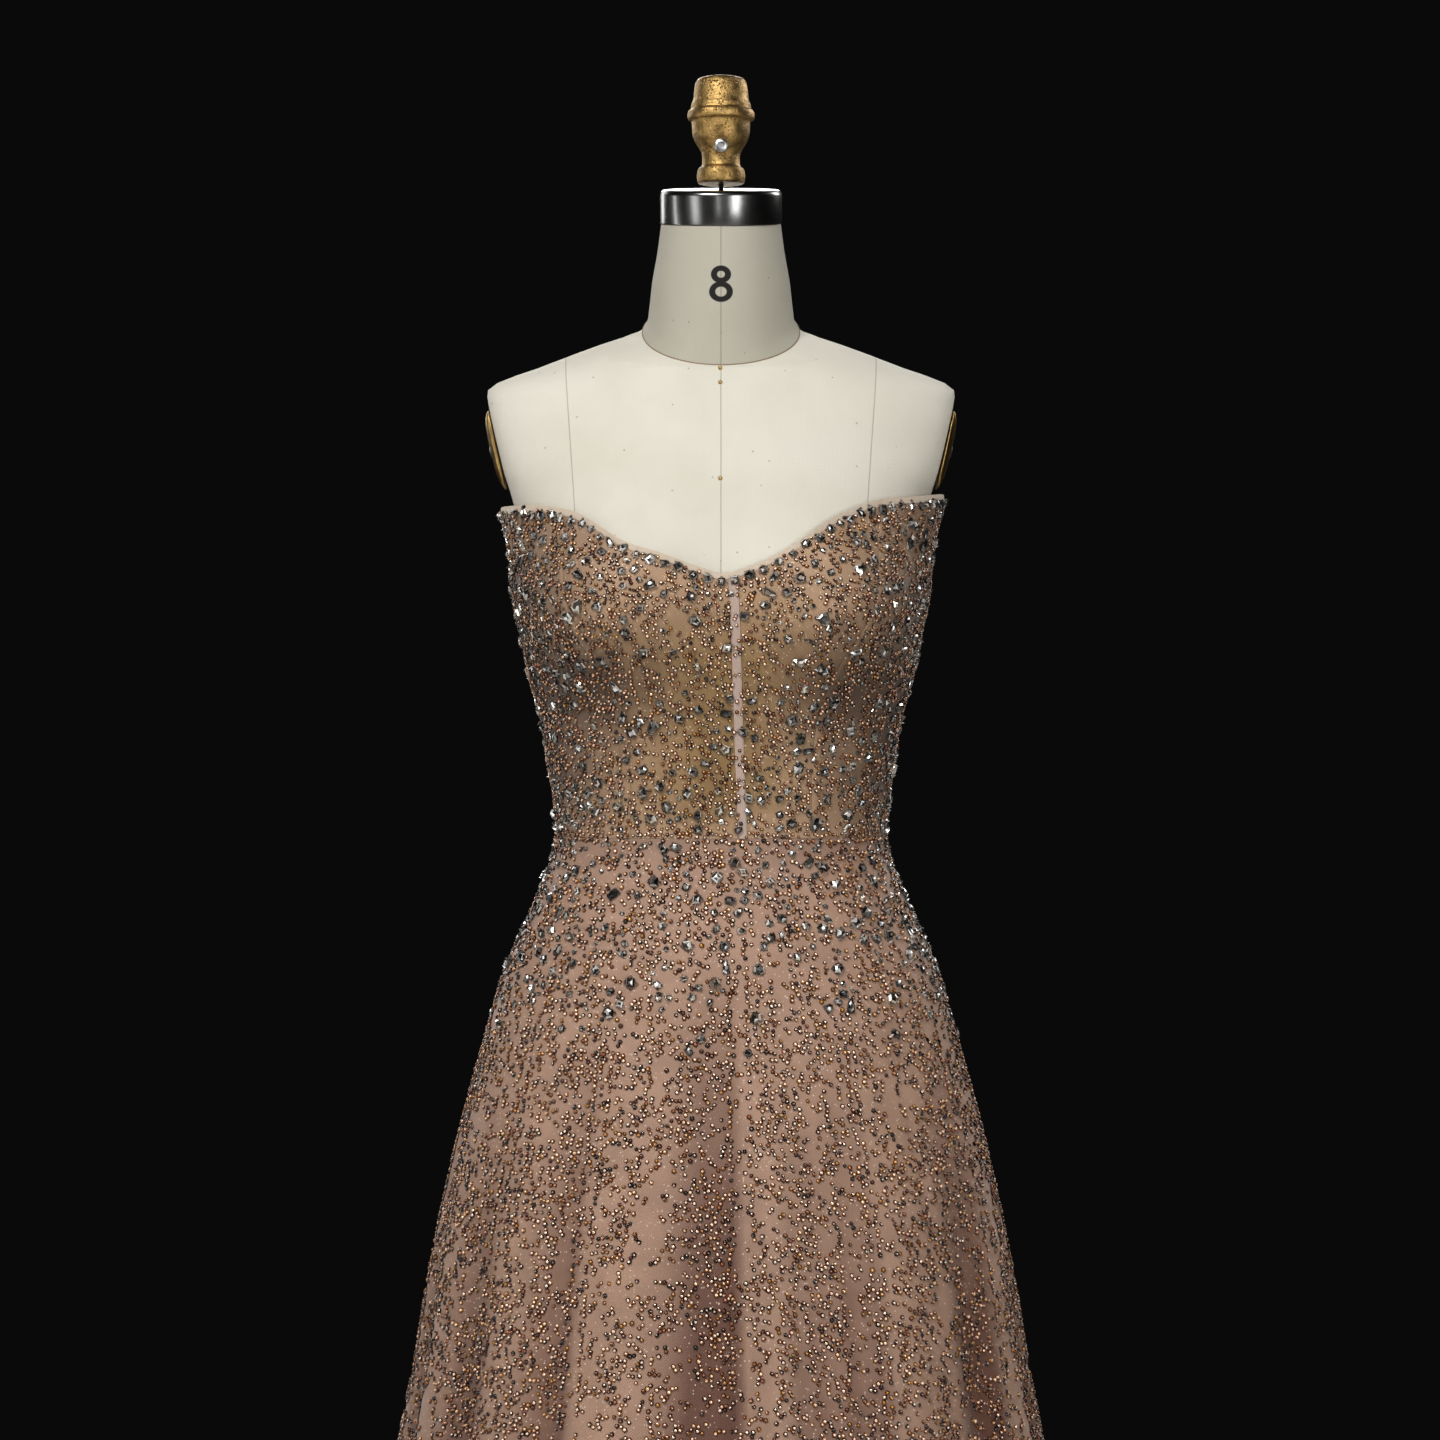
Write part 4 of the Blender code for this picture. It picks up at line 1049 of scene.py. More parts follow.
@dataclass(frozen=True)
class Skirt:
    """The A-line skirt: seven gores of net over satin, folded softly from the hips to the hem."""

    shell: float = 0.0009
    row: float = 0.0140
    column: float = 0.0080
    hem_reach: float = 0.42
    drift: float = 18.0
    growth: float = 0.85

    FOLDS = tuple(Fold(*row) for row in (
        (-166.0, 6.0, 6.0, -0.018, 1.00), (-151.0, 6.0, 6.0, 0.014, 0.97),
        (-136.0, 6.0, 7.0, -0.018, 0.97), (-121.0, 7.0, 6.0, 0.015, 0.95),
        (-105.0, 6.0, 7.0, -0.019, 0.94), (-90.0, 7.0, 6.0, 0.014, 0.90),
        (-76.0, 6.0, 5.0, -0.017, 0.92), (-62.0, 6.0, 6.0, 0.012, 0.90),
        (-50.0, 4.5, 5.0, -0.013, 0.90), (-39.0, 5.0, 5.0, 0.010, 0.93),
        (-28.5, 4.5, 2.6, -0.011, 0.95), (-17.0, 7.0, 6.0, 0.007, 0.95),
        (-1.0, 7.0, 3.4, -0.019, 1.00), (8.8, 3.6, 5.0, 0.013, 1.00),
        (17.5, 5.0, 4.0, -0.007, 0.93), (24.5, 3.4, 2.6, -0.008, 0.95),
        (32.0, 4.5, 6.0, 0.013, 0.95), (49.0, 4.5, 8.0, -0.018, 0.92),
        (66.0, 8.0, 6.0, 0.014, 0.90), (78.0, 4.5, 4.5, -0.012, 0.88),
        (88.0, 5.0, 6.0, 0.013, 0.90), (103.0, 7.0, 6.0, -0.019, 0.92),
        (118.0, 6.0, 7.0, 0.014, 0.93), (133.0, 7.0, 6.0, -0.016, 0.95),
        (148.0, 6.0, 7.0, 0.015, 0.97), (164.0, 6.0, 6.0, -0.019, 1.00),
        (180.0, 7.0, 7.0, 0.012, 1.00),
    ))
    CREASES = tuple(Crease(*row) for row in (
        (-176.0, 1.6, 0.0016, 1.02, 0.40, 1.1), (-159.0, 1.9, -0.0019, 0.99, 0.20, -1.4),
        (-144.0, 1.5, 0.0015, 0.90, 0.10, 1.2), (-128.5, 1.8, -0.0017, 0.98, 0.45, 1.5),
        (-113.0, 1.6, 0.0019, 0.86, 0.05, -1.1), (-98.0, 1.8, -0.0016, 0.96, 0.35, 1.3),
        (-83.0, 1.5, 0.0017, 0.99, 0.25, 1.0), (-69.5, 1.4, -0.0015, 0.93, 0.40, -1.2),
        (-56.0, 1.5, 0.0018, 0.97, 0.15, 0.9), (-44.5, 1.2, -0.0014, 0.90, 0.30, 1.1),
        (-33.5, 1.1, 0.0014, 0.99, 0.45, -0.8), (-23.5, 1.1, 0.0015, 0.92, 0.20, 0.7),
        (-12.0, 1.3, -0.0012, 0.88, 0.35, 0.9), (-5.5, 1.0, 0.0011, 0.84, 0.30, -0.6),
        (3.0, 0.9, 0.0016, 0.99, 0.25, 0.5), (13.5, 1.1, -0.0013, 0.95, 0.40, -0.8),
        (20.5, 0.9, 0.0012, 0.90, 0.30, 0.6), (28.0, 1.1, 0.0013, 0.86, 0.15, -0.7),
        (40.5, 1.5, -0.0016, 0.98, 0.35, 1.0), (56.5, 1.6, 0.0018, 0.93, 0.10, 1.3),
        (72.0, 1.5, -0.0016, 0.97, 0.30, -1.2), (83.5, 1.3, 0.0014, 0.90, 0.45, 0.9),
        (95.5, 1.7, -0.0018, 0.98, 0.15, 1.2), (110.5, 1.6, 0.0016, 0.88, 0.30, -1.3),
        (126.0, 1.8, -0.0017, 0.96, 0.20, 1.1), (140.5, 1.5, 0.0018, 0.99, 0.40, -1.0),
        (156.0, 1.7, -0.0015, 0.91, 0.15, 1.4), (172.0, 1.6, 0.0017, 0.97, 0.30, 1.0),
    ))
    # Threads of the grain at which the gores meet
    GORES = (
        ("skirt_back_left", -180.0, -153.0),
        ("skirt_side_back_left", -153.0, -90.0),
        ("skirt_side_front_left", -90.0, -27.0),
        ("skirt_front", -27.0, 27.0),
        ("skirt_side_front_right", 27.0, 90.0),
        ("skirt_side_back_right", 90.0, 153.0),
        ("skirt_back_right", 153.0, 180.0),
    )

    def azimuth(self, thread: Array, height: Array) -> Array:
        """Where a thread lies at a height: threads run straighter down than the flare does."""
        drift = self.drift * (height - HEM) / (WAIST - HEM)
        return thread + drift * np.sin(2.0 * np.radians(thread))

    def grown(self, fold: Fold, height: Array) -> Array:
        """How far a fold has opened at a height, from 0 at its start to 1 at the hem."""
        return ramp(fold.start - height, fold.start - HEM) ** self.growth

    def fold(self, thread: Array, height: Array) -> Array:
        """How far the large folds stand out."""
        total = np.zeros(np.broadcast(thread, height).shape)
        for fold in self.FOLDS:
            away = apart(thread, fold.thread)
            width = np.where(away < 0, fold.left, fold.right)
            total = total + fold.crest * self.grown(fold, height) * bell(away, width)
        return total

    def crease(self, thread: Array, height: Array) -> Array:
        """How far the small creases stand out."""
        total = np.zeros(np.broadcast(thread, height).shape)
        for crease in self.CREASES:
            share = ramp(height - crease.foot, crease.top - crease.foot)
            bend = crease.sway * np.sin(math.pi * share * 1.6 + crease.thread)
            away = apart(thread + bend, crease.thread)
            total = total + crease.ridge * np.sin(math.pi * share) ** 0.8 * bell(away, crease.half)
        return total

    def point(self, thread: Array, height: Array) -> Array:
        """Points of the outer face, with its folds and creases."""
        azimuth = self.azimuth(thread, height)
        radius = SKIRT_LINE.radius(azimuth, height) + self.fold(thread, height) + self.crease(thread, height)
        return place(azimuth, radius, height)

    def tone(self, thread: Array, height: Array) -> Array:
        """How far the ground deepens: painted shade in the troughs, up to their sharp edge, and a steady
        deepening towards the hem.
        """
        trough = np.zeros(np.broadcast(thread, height).shape)
        for fold in self.FOLDS:
            if fold.crest < 0:
                away = apart(thread, fold.thread)
                past = np.abs(away) / np.where(away < 0, fold.left, fold.right + 1.0)
                spread = past ** np.where(away < 0, 2.4, 9.0)
                trough = trough - fold.crest * self.grown(fold, height) * np.exp(-spread) / 0.0055
        trough = np.clip(trough, 0.0, 1.0)
        return np.clip(0.06 + 0.80 * trough**0.8 + 0.10 * (WAIST - height), 0.0, 1.0)

    def shade(self, thread: Array, height: Array) -> Array:
        """How far painted shade darkens the ground at the waist seam and at the steep sides of the folds."""
        steep = np.abs(self.fold(thread + 0.8, height) - self.fold(thread - 0.8, height)) / 0.005
        return np.clip(0.30 * bell(height - WAIST, 0.02) + 0.45 * steep, 0.0, 0.6)

    def marks(self, thread: Array, height: Array) -> dict[str, Array]:
        """What the net's material reads at each point."""
        return {"tone": self.tone(thread, height), "shade": self.shade(thread, height)}

    def build(self, cloth: Material) -> None:
        """Builds the seven gores, each a thin shell on its solid's outer face."""
        rows = int((WAIST - HEM) / self.row) + 1
        height = np.linspace(HEM, WAIST - SEAM_GAP / 2, rows + 1)[:, None]
        for name, start, end in self.GORES:
            columns = int(math.radians(end - start) * self.hem_reach / self.column) + 1
            threads, heights = np.broadcast_arrays(np.linspace(start, end, columns + 1)[None, :], height)
            sew_sheet(
                ("cloth_" + name, name), self.point(threads, heights), cloth, Slot.SKIRT, (self.shell, 70.0),
                self.marks(threads, heights),
            )


# Beadwork


class StoneCut(Enum):
    """Outlines of the faceted stones: number of sides, and how far the far end draws to a point."""

    ROUND = (5, 0.0)
    SQUARE = (4, 0.0)
    DROP = (6, 0.55)


class Shape(NamedTuple):
    """A small shape to be repeated: points, triangles, and each triangle's material and facet."""

    points: Array
    triangles: Array
    finish: Array
    facet: Array


class Spread:
    """Keeps sewn-on things from lying in one another, with a grid of cells over space."""

    def __init__(self, cell: float) -> None:
        """Starts empty.

        Args:
            cell: Side of a cell, at least the largest distance asked for, in metres.
        """
        self.cell = cell
        self.cells: dict[tuple[int, ...], list[tuple[float, float, float, float]]] = {}

    def home(self, *point: float) -> tuple[int, ...]:
        """The cell that a point lies in."""
        return tuple(int(part // self.cell) for part in point)

    def add(self, x: float, y: float, z: float, reach: float) -> None:
        """Keeps a thing."""
        self.cells.setdefault(self.home(x, y, z), []).append((x, y, z, reach))

    def take(self, point: tuple[float, float, float], reach: float) -> bool:
        """Keeps a thing if nothing lies within its reach.

        Args:
            point: Its centre.
            reach: Its own radius in metres.

        Returns:
            Whether it was kept.
        """
        x, y, z = point
        for cell in product(*((part - 1, part, part + 1) for part in self.home(*point))):
            for other in self.cells.get(cell, ()):
                near = reach + other[3]
                if (x - other[0]) ** 2 + (y - other[1]) ** 2 + (z - other[2]) ** 2 < near * near:
                    return False
        self.add(x, y, z, reach)
        return True


@dataclass(frozen=True)
class Beadwork:
    """Hand-sewn seed beads and faceted stones, in a seeded scatter of the builder's own."""

    bodice_bead: float = 0.00176
    skirt_bead: float = 0.00208
    bead_bulge: float = 0.95
    bead_sides: int = 5
    arc_step: float = 1.62
    proud: float = 0.0003
    patchy: float = 0.17
    patch_turns: tuple[float, float] = (0.75, 60.0)
    stones_end: float = 0.936
    most_in_piece: int = 12500
    run_length: float = 2.0
    crowding: float = 1.5

    BEAD_COLOURS = (
        ("#8f501f", 0.30), ("#b3752c", 0.20), ("#562512", 0.22), ("#26120a", 0.13),
        ("#9c5832", 0.12), ("#6e584c", 0.03),
    )
    STONE_COLOURS = (("#837e78", 0.4), ("#9b948b", 0.25), ("#696663", 0.2), ("#ab9c8b", 0.15))
    # Painted reflection on the stones' facets: how bright a facet is painted, and how often
    PAINTED_FACET_LIGHT = ((0.06, 0.27), (0.30, 0.25), (0.85, 0.20), (1.9, 0.15), (4.2, 0.13))

    def small_shape(self, piece: Object, finish: int = 0) -> Shape:
        """Reads a modelled shape's triangles, and removes its object."""
        mesh = piece.data
        mesh.calc_loop_triangles()
        points = np.array([vertex.co for vertex in mesh.vertices])
        triangles = np.array([triangle.vertices for triangle in mesh.loop_triangles])
        facet = np.array([triangle.polygon_index for triangle in mesh.loop_triangles])
        bpy.data.objects.remove(piece, do_unlink=True)
        return Shape(points, triangles, np.full(len(triangles), finish), facet)

    def model_bead(self, sides: int) -> Shape:
        """Models the part of a bead that stands out of the net: a dome whose rim lies in the cloth."""
        deselect()
        bpy.ops.mesh.primitive_uv_sphere_add(segments=sides, ring_count=4, radius=1.0)
        bead = bpy.context.object
        pick_faces(bead, lambda face: face.center.z < 0)
        bpy.ops.mesh.delete(type="FACE")
        deselect()
        return self.small_shape(bead)

    def model_stone(self, cut: StoneCut) -> Shape:
        """Models a stone of unit radius in its cup: girdle, crown facets and a flat table."""
        sides, point = cut.value
        deselect()
        bpy.ops.mesh.primitive_cylinder_add(vertices=sides, radius=1.0, depth=0.22)
        stone = bpy.context.object
        for thickness, depth in ((0.26, 0.26), (0.30, 0.14)):
            pick_faces(stone, lambda face: face.normal.z > 0.9)
            bpy.ops.mesh.inset(thickness=thickness, depth=depth)
            deselect()
        self.draw_out(stone, point)
        close_up(stone)
        gem = self.small_shape(stone)
        cup = self.model_cup(point)
        return Shape(
            np.vstack([gem.points, cup.points]),
            np.vstack([gem.triangles, cup.triangles + len(gem.points)]),
            np.concatenate([gem.finish, cup.finish]),
            np.concatenate([gem.facet, cup.facet + gem.facet.max() + 1]),
        )

    def model_cup(self, point: float) -> Shape:
        """Models the stone's metal cup: a low flared ring with four claws that lean inwards."""
        deselect()
        bpy.ops.mesh.primitive_cone_add(
            vertices=6, radius1=0.95, radius2=1.04, depth=0.30, end_fill_type="NOTHING",
            location=(0, 0, -0.12),
        )
        cup = bpy.context.object
        bpy.ops.object.transform_apply(location=True)
        for corner in range(4):
            deselect()
            turn = math.radians(90.0 * corner + 45.0)
            bpy.ops.mesh.primitive_cone_add(
                vertices=3, radius1=0.26, depth=0.75, end_fill_type="NOTHING",
                location=(0.98 * math.cos(turn), 0.98 * math.sin(turn), 0.20),
                rotation=(0.30 * math.sin(turn), -0.30 * math.cos(turn), 0.0),
            )
            cup.select_set(True)
            bpy.context.view_layer.objects.active = cup
            bpy.ops.object.join()
        self.draw_out(cup, point)
        return self.small_shape(cup, 1)

    def draw_out(self, piece: Object, point: float) -> None:
        """Draws one end of a drop out to a soft point, as far as point says."""
        for vertex in piece.data.vertices:
            if point > 0.1 and vertex.co.y > 0:
                vertex.co.x *= 1.0 - point * vertex.co.y
                vertex.co.y *= 1.45

    def repeat(
        self,
        name: str,
        shape: Shape,
        spot: Spot,
        size: Array,
        rise: Array,
        lean: Array,
        colours: Array,
        materials: list[Material],
        slot: Slot,
        facets: Array | None = None,
    ) -> None:
        """Joins many copies of a small shape into one mesh, on a surface.

        Args:
            name: The piece's name.
            shape: The shape, of unit size.
            spot: Where each copy lies and its directions.
            size: Half width, half depth and height of each copy, as (count, 3).
            rise: How far each copy's middle stands off the surface.
            lean: Turn of each copy about the outward direction, in radians.
            colours: Each copy's linear colour, as (count, 4).
            materials: The piece's materials, by the shape's finish numbers.
            slot: The record's slot.
            facets: How bright each facet of each copy is painted, as (count, facets), for cut stones: painted
                reflection; without it the alpha of each copy rises towards its crown, where a highlight is
                painted.
        """
        count = len(size)
        cos, sin = np.cos(lean)[:, None], np.sin(lean)[:, None]
        first = spot.across * cos + spot.up * sin
        second = spot.up * cos - spot.across * sin
        local = shape.points[None, :, :] * size[:, None, :]
        points = (
            spot.centre[:, None, :]
            + local[..., [0]] * first[:, None, :]
            + local[..., [1]] * second[:, None, :]
            + (local[..., [2]] + rise[:, None, None]) * spot.out[:, None, :]
        )
        offsets = (np.arange(count) * len(shape.points))[:, None, None]
        triangles = (shape.triangles[None, :, :] + offsets).reshape(-1, 3)
        mesh = bpy.data.meshes.new(name)
        mesh.vertices.add(count * len(shape.points))
        mesh.vertices.foreach_set("co", points.reshape(-1).astype(np.float32))
        mesh.loops.add(triangles.size)
        mesh.loops.foreach_set("vertex_index", triangles.reshape(-1).astype(np.int32))
        mesh.polygons.add(len(triangles))
        mesh.polygons.foreach_set("loop_start", np.arange(0, triangles.size, 3, dtype=np.int32))
        mesh.polygons.foreach_set("material_index", np.tile(shape.finish, count).astype(np.int32))
        mesh.update(calc_edges=True)
        each = np.repeat(colours[:, None, None, :], len(shape.triangles), axis=1).repeat(3, axis=2)
        if facets is None:
            # The alpha rises from 0 at the rim to 1 at the crown: painted shade at the rim, a painted
            # highlight at the crown
            crown = np.interp(shape.points[shape.triangles, 2], (0.0, 0.707, 1.0), (0.0, 0.26, 1.0))
            each[..., 3] = crown[None] * colours[:, 3][:, None, None]
        else:
            # Stones: each facet's colour is scaled by its painted reflection, with no painted crown highlight
            each[..., :3] *= facets[:, shape.facet][:, :, None, None]
            each[..., 3] = 0.36
            mesh.shade_flat()
        layer = mesh.color_attributes.new("glass", "FLOAT_COLOR", "CORNER")
        layer.data.foreach_set("color", np.clip(each, 0.0, 1.0).reshape(-1).astype(np.float32))
        own(linked(name, mesh), name, materials, slot)
        log.info("%s: %d copies, %d triangles", name, count, len(triangles))

    def pick_colours(self, rng: Chance, table: tuple[tuple[str, float], ...], count: int) -> Array:
        """Draws colours from a weighted table, each a little lighter or darker."""
        shares = np.array([share for _, share in table])
        picks = rng.choice(len(table), size=count, p=shares / shares.sum())
        colours = np.array([linear(colour) for colour, _ in table])[picks]
        colours[:, :3] *= rng.uniform(0.75, 1.25, (count, 1))
        return np.clip(colours, 0.0, 1.0)

    def clear_of_zip(self, points: Array) -> Array:
        """True where a point is well clear of the zip's tape and pull."""
        aside, front = np.abs(points[:, 0]) > 0.0072, points[:, 1] < 0
        return aside | front | (points[:, 2] < ZIP_BOX[0][2] - 0.004)

    def arcs(
        self,
        rng: Chance,
        surface: Surface,
        turn: Array,
        height: Array,
        lengths: tuple[int, int],
        radius: float,
    ) -> tuple[Array, Array]:
        """Strings beads in short bent runs from their first beads.

        Args:
            rng: The seeded source of chance.
            surface: The cloth's surface.
            turn: Azimuths or threads of the first beads.
            height: Heights of the first beads.
            lengths: Fewest and most beads of a run.
            radius: The beads' usual radius.

        Returns:
            Azimuths or threads, and heights, of all the beads.
        """
        count = len(turn)
        metres = degree_width(surface, turn, height)
        heading = rng.uniform(0, 2 * math.pi, count)
        bend = rng.normal(0.0, 0.85, count)
        beads = rng.integers(lengths[0], lengths[1] + 1, count)
        turns, heights = [turn], [height]
        for step in range(1, lengths[1]):
            heading = heading + bend
            turn = turn + np.cos(heading) * self.arc_step * radius / metres
            height = height + np.sin(heading) * self.arc_step * radius
            alive = beads > step
            turns.append(np.where(alive, turn, np.nan))
            heights.append(np.where(alive, height, np.nan))
        turn, height = np.stack(turns, 1).ravel(), np.stack(heights, 1).ravel()
        kept = ~np.isnan(turn)
        return turn[kept], height[kept]

    def keep(self, spread: Spread, points: Array, reach: Array) -> Array:
        """Keeps the things that touch none before them."""
        pairs = zip(points.tolist(), reach.tolist())
        return np.array([spread.take(tuple(point), far) for point, far in pairs])

    def sew_stones(
        self,
        name: str,
        rng: Chance,
        spread: Spread,
        surface: Surface,
        turn: Array,
        height: Array,
        radius: Array,
        lift: Array,
        materials: list[Material],
        slot: Slot,
    ) -> Array:
        """Sews stones on, in three cuts, and joins each cut's stones.

        Args:
            name: Start of the pieces' names.
            rng: The seeded source of chance.
            spread: What keeps them apart.
            surface: The cloth's surface.
            turn: Azimuths or threads.
            height: Heights.
            radius: The stones' radii.
            lift: How far each stands off for a channel below it.
            materials: The stone's and its cup's material.
            slot: The record's slot.

        Returns:
            The kept stones' centres, as (count, 3).
        """
        spot = spots(surface, turn, height)
        kept = self.clear_of_zip(spot.centre)
        kept[kept] = self.keep(spread, spot.centre[kept], radius[kept] * 1.05)
        spot = spot.pick(kept)
        radius, lift = radius[kept], lift[kept]
        cuts = rng.choice(3, size=len(radius), p=(0.42, 0.36, 0.22))
        spot = self.tilted(rng, spot, 0.16)
        colours = self.pick_colours(rng, self.STONE_COLOURS, len(radius))
        lean = rng.uniform(0, 2 * math.pi, len(radius))
        for number, cut in enumerate(StoneCut):
            some = cuts == number
            size = radius[some][:, None] * rng.uniform(0.72, 1.12, (int(some.sum()), 3))
            # Painted reflection: a brightness for each facet of each stone
            tones, shares = np.array(self.PAINTED_FACET_LIGHT).T
            facets = rng.choice(tones, size=(len(size), 60), p=shares)
            self.repeat(
                f"{name}_{cut.name.lower()}", self.model_stone(cut), spot.pick(some), size,
                radius[some] * 0.30 + lift[some], lean[some], colours[some], materials, slot, facets,
            )
        return spot.centre

    def tilted(self, rng: Chance, spot: Spot, amount: float) -> Spot:
        """Tilts each thing a little, as sewn ones lie.

        Args:
            rng: The seeded source of chance.
            spot: Where they lie.
            amount: Usual tilt in radians.

        Returns:
            The same points with tilted directions.
        """
        tilt = rng.normal(0.0, amount, (len(spot.centre), 2))
        out = unit(spot.out + tilt[:, [0]] * spot.across + tilt[:, [1]] * spot.up)
        across = unit(np.cross(spot.up, out))
        return Spot(spot.centre, across, np.cross(out, across), out)

    def sew_beads(
        self,
        name: str,
        rng: Chance,
        shape: Shape,
        spot: Spot,
        lift: Array,
        radius: float,
        material: Material,
        slot: Slot,
    ) -> None:
        """Joins seed beads into pieces of a bounded size."""
        count = len(spot.centre)
        size = np.array([radius, radius, radius * self.bead_bulge])
        scale = rng.uniform(0.80, 1.12, (count, 1)) * size[None, :]
        colours = self.pick_colours(rng, self.BEAD_COLOURS, count)
        # How strong each bead's painted crown highlight is
        colours[:, 3] = np.minimum(rng.uniform(0.36, 1.15, count), 1.0)
        lean = rng.uniform(0, 2 * math.pi, count)
        spot = self.tilted(rng, spot, 0.22)
        parts = max(1, math.ceil(count / self.most_in_piece))
        for number, some in enumerate(np.array_split(np.arange(count), parts)):
            self.repeat(
                f"{name}_{number + 1}", shape, spot.pick(some), scale[some], lift[some] + self.proud,
                lean[some], colours[some], [material], slot,
            )

    def bodice_stones(self, rng: Chance, bodice: Bodice) -> tuple[Array, ...]:
        """Lays out the stones of the bodice: a row under the neckline, then a loose scatter."""
        row_turn = []
        at = -179.0
        while at < 179.0:
            row_turn.append(at)
            at += math.degrees(rng.uniform(0.0090, 0.0108) / float(bodice.radius(at, USUAL_TOP)))
        row_turn = np.array(row_turn)
        row_height = bodice.top(row_turn) - 0.0016 + rng.normal(0.0, 0.0008, len(row_turn))
        row_size = rng.uniform(0.0036, 0.0044, len(row_turn))
        count = 5200
        turn = rng.uniform(-179.0, 179.0, count)
        height = WAIST + 0.006 + (bodice.top(turn) - WAIST - 0.014) * rng.uniform(0, 1, count)
        wanted = 0.20 + 0.34 * ramp(height - 1.25, 0.08) + 0.40 * bell(height - WAIST, 0.025)
        wanted += 0.16 * ramp(np.abs(turn) - 25.0, 45.0)
        kept = rng.uniform(0, 1, count) < wanted * 0.62
        turn, height = turn[kept], height[kept]
        size = rng.choice([0.0023, 0.0035, 0.0047], size=len(turn), p=(0.22, 0.40, 0.38))
        return (
            np.concatenate([row_turn, turn]),
            np.concatenate([row_height, height]),
            np.concatenate([row_size, size * rng.uniform(0.9, 1.15, len(size))]),
        )

    def bodice_beads(
        self, rng: Chance, bodice: Bodice, stones: Array
    ) -> tuple[Array, Array]:
        """Lays out the seed beads of the bodice: close at the sides, open at the middle front.

        Args:
            rng: The seeded source of chance.
            bodice: The bodice's shape.
            stones: Centres of the stones, which beads gather round.

        Returns:
            Azimuths and heights.
        """
        count = 40000
        turn = rng.uniform(-179.4, 179.4, count)
        height = WAIST + 0.002 + (bodice.top(turn) - WAIST - 0.003) * rng.uniform(0, 1, count)
        side, back = ramp(np.abs(turn) - 20.0, 36.0), ramp(np.abs(turn) - 120.0, 50.0)
        upper = ramp(height - (bodice.top(turn) - 0.020), 0.010)
        waist = bell(height - WAIST, 0.010)
        per_area = 4.9 + 5.0 * side - 4.0 * back + 5.0 * upper + 5.0 * waist
        per_area = per_area * self.patches(rng, turn, height)
        field_share = 358.8 * (USUAL_TOP - WAIST) / count
        kept = self.first_beads(rng, bodice.point, turn, height, per_area, field_share)
        turn, height = self.arcs(rng, bodice.point, turn[kept], height[kept], (1, 3), self.bodice_bead)
        around = np.repeat(np.arange(len(stones)), 4)
        ring_turn = np.degrees(np.arctan2(stones[around, 0], -stones[around, 1]))
        spin = rng.uniform(0, 2 * math.pi, len(around))
        reach = rng.uniform(0.0034, 0.0060, len(around))
        away = np.linalg.norm(stones[around, :2], axis=1)
        ring_turn = ring_turn + np.degrees(reach * np.cos(spin) / away)
        ring_height = stones[around, 2] + reach * np.sin(spin)
        row_turn, row_height = self.seam_row(rng, 0.0018)
        turn = np.concatenate([row_turn, ring_turn, turn])
        height = np.concatenate([row_height, ring_height, height])
        inside = (height > WAIST + 0.0012) & (height < bodice.top(turn) + 0.0018)
        channel = np.abs(turn - bodice.seam(0, height)) * 0.00195 > 0.0030
        sparse = rng.uniform(0, 1, len(turn)) < 0.30
        kept = inside & (channel | sparse)
        return turn[kept], height[kept]

    def seam_row(self, rng: Chance, rise: float) -> tuple[Array, Array]:
        """Lays out the close row of beads that hides the waist seam on one of its sides."""
        turn = rng.uniform(-179.0, 179.0, 620)
        off = rng.uniform(-0.0005, 0.0022, len(turn)) * math.copysign(1.0, rise)
        return turn, WAIST + rise + off

    def skirt_stones(self, rng: Chance) -> tuple[Array, ...]:
        """Lays out the stones of the skirt, from the waist to a fairly clear line on the hips."""
        count = 2400
        turn = rng.uniform(-179.5, 179.5, count)
        height = rng.uniform(self.stones_end, WAIST - 0.004, count)
        low = np.clip((height - self.stones_end) / 0.05, 0.25, 1.0)
        kept = rng.uniform(0, 1, count) < 0.34 * low + 0.3 * bell(height - WAIST, 0.03)
        turn, height = turn[kept], height[kept]
        size = rng.choice([0.0022, 0.0034, 0.0047], size=len(turn), p=(0.30, 0.36, 0.34))
        return turn, height, size * rng.uniform(0.9, 1.15, len(size))

    def first_beads(
        self,
        rng: Chance,
        surface: Surface,
        turn: Array,
        height: Array,
        per_area: Array,
        share_of_field: float,
    ) -> Array:
        """Picks where bead runs start, so that the beads come out at a density.

        Args:
            rng: The seeded source of chance.
            surface: The cloth's surface.
            turn: Candidate azimuths or threads.
            height: Candidate heights.
            per_area: Wanted beads to the square centimetre at each.
            share_of_field: Degrees times metres that stand for one candidate.

        Returns:
            True for the candidates that are picked.
        """
        width = degree_width(surface, turn, height)
        wanted = per_area * 1e4 * width * share_of_field * self.crowding / self.run_length
        return rng.uniform(0, 1, len(turn)) < wanted

    def patches(self, rng: Chance, turn: Array, height: Array) -> Array:
        """How much closer or looser the beads lie from patch to patch, about 1 on average."""
        total = np.ones(len(turn))
        for across, down in rng.normal(0.0, 1.0, (14, 2)) * self.patch_turns:
            total += self.patchy * np.cos(turn * across + height * down + rng.uniform(0, 2 * math.pi))
        return np.clip(total, 0.15, 2.2)

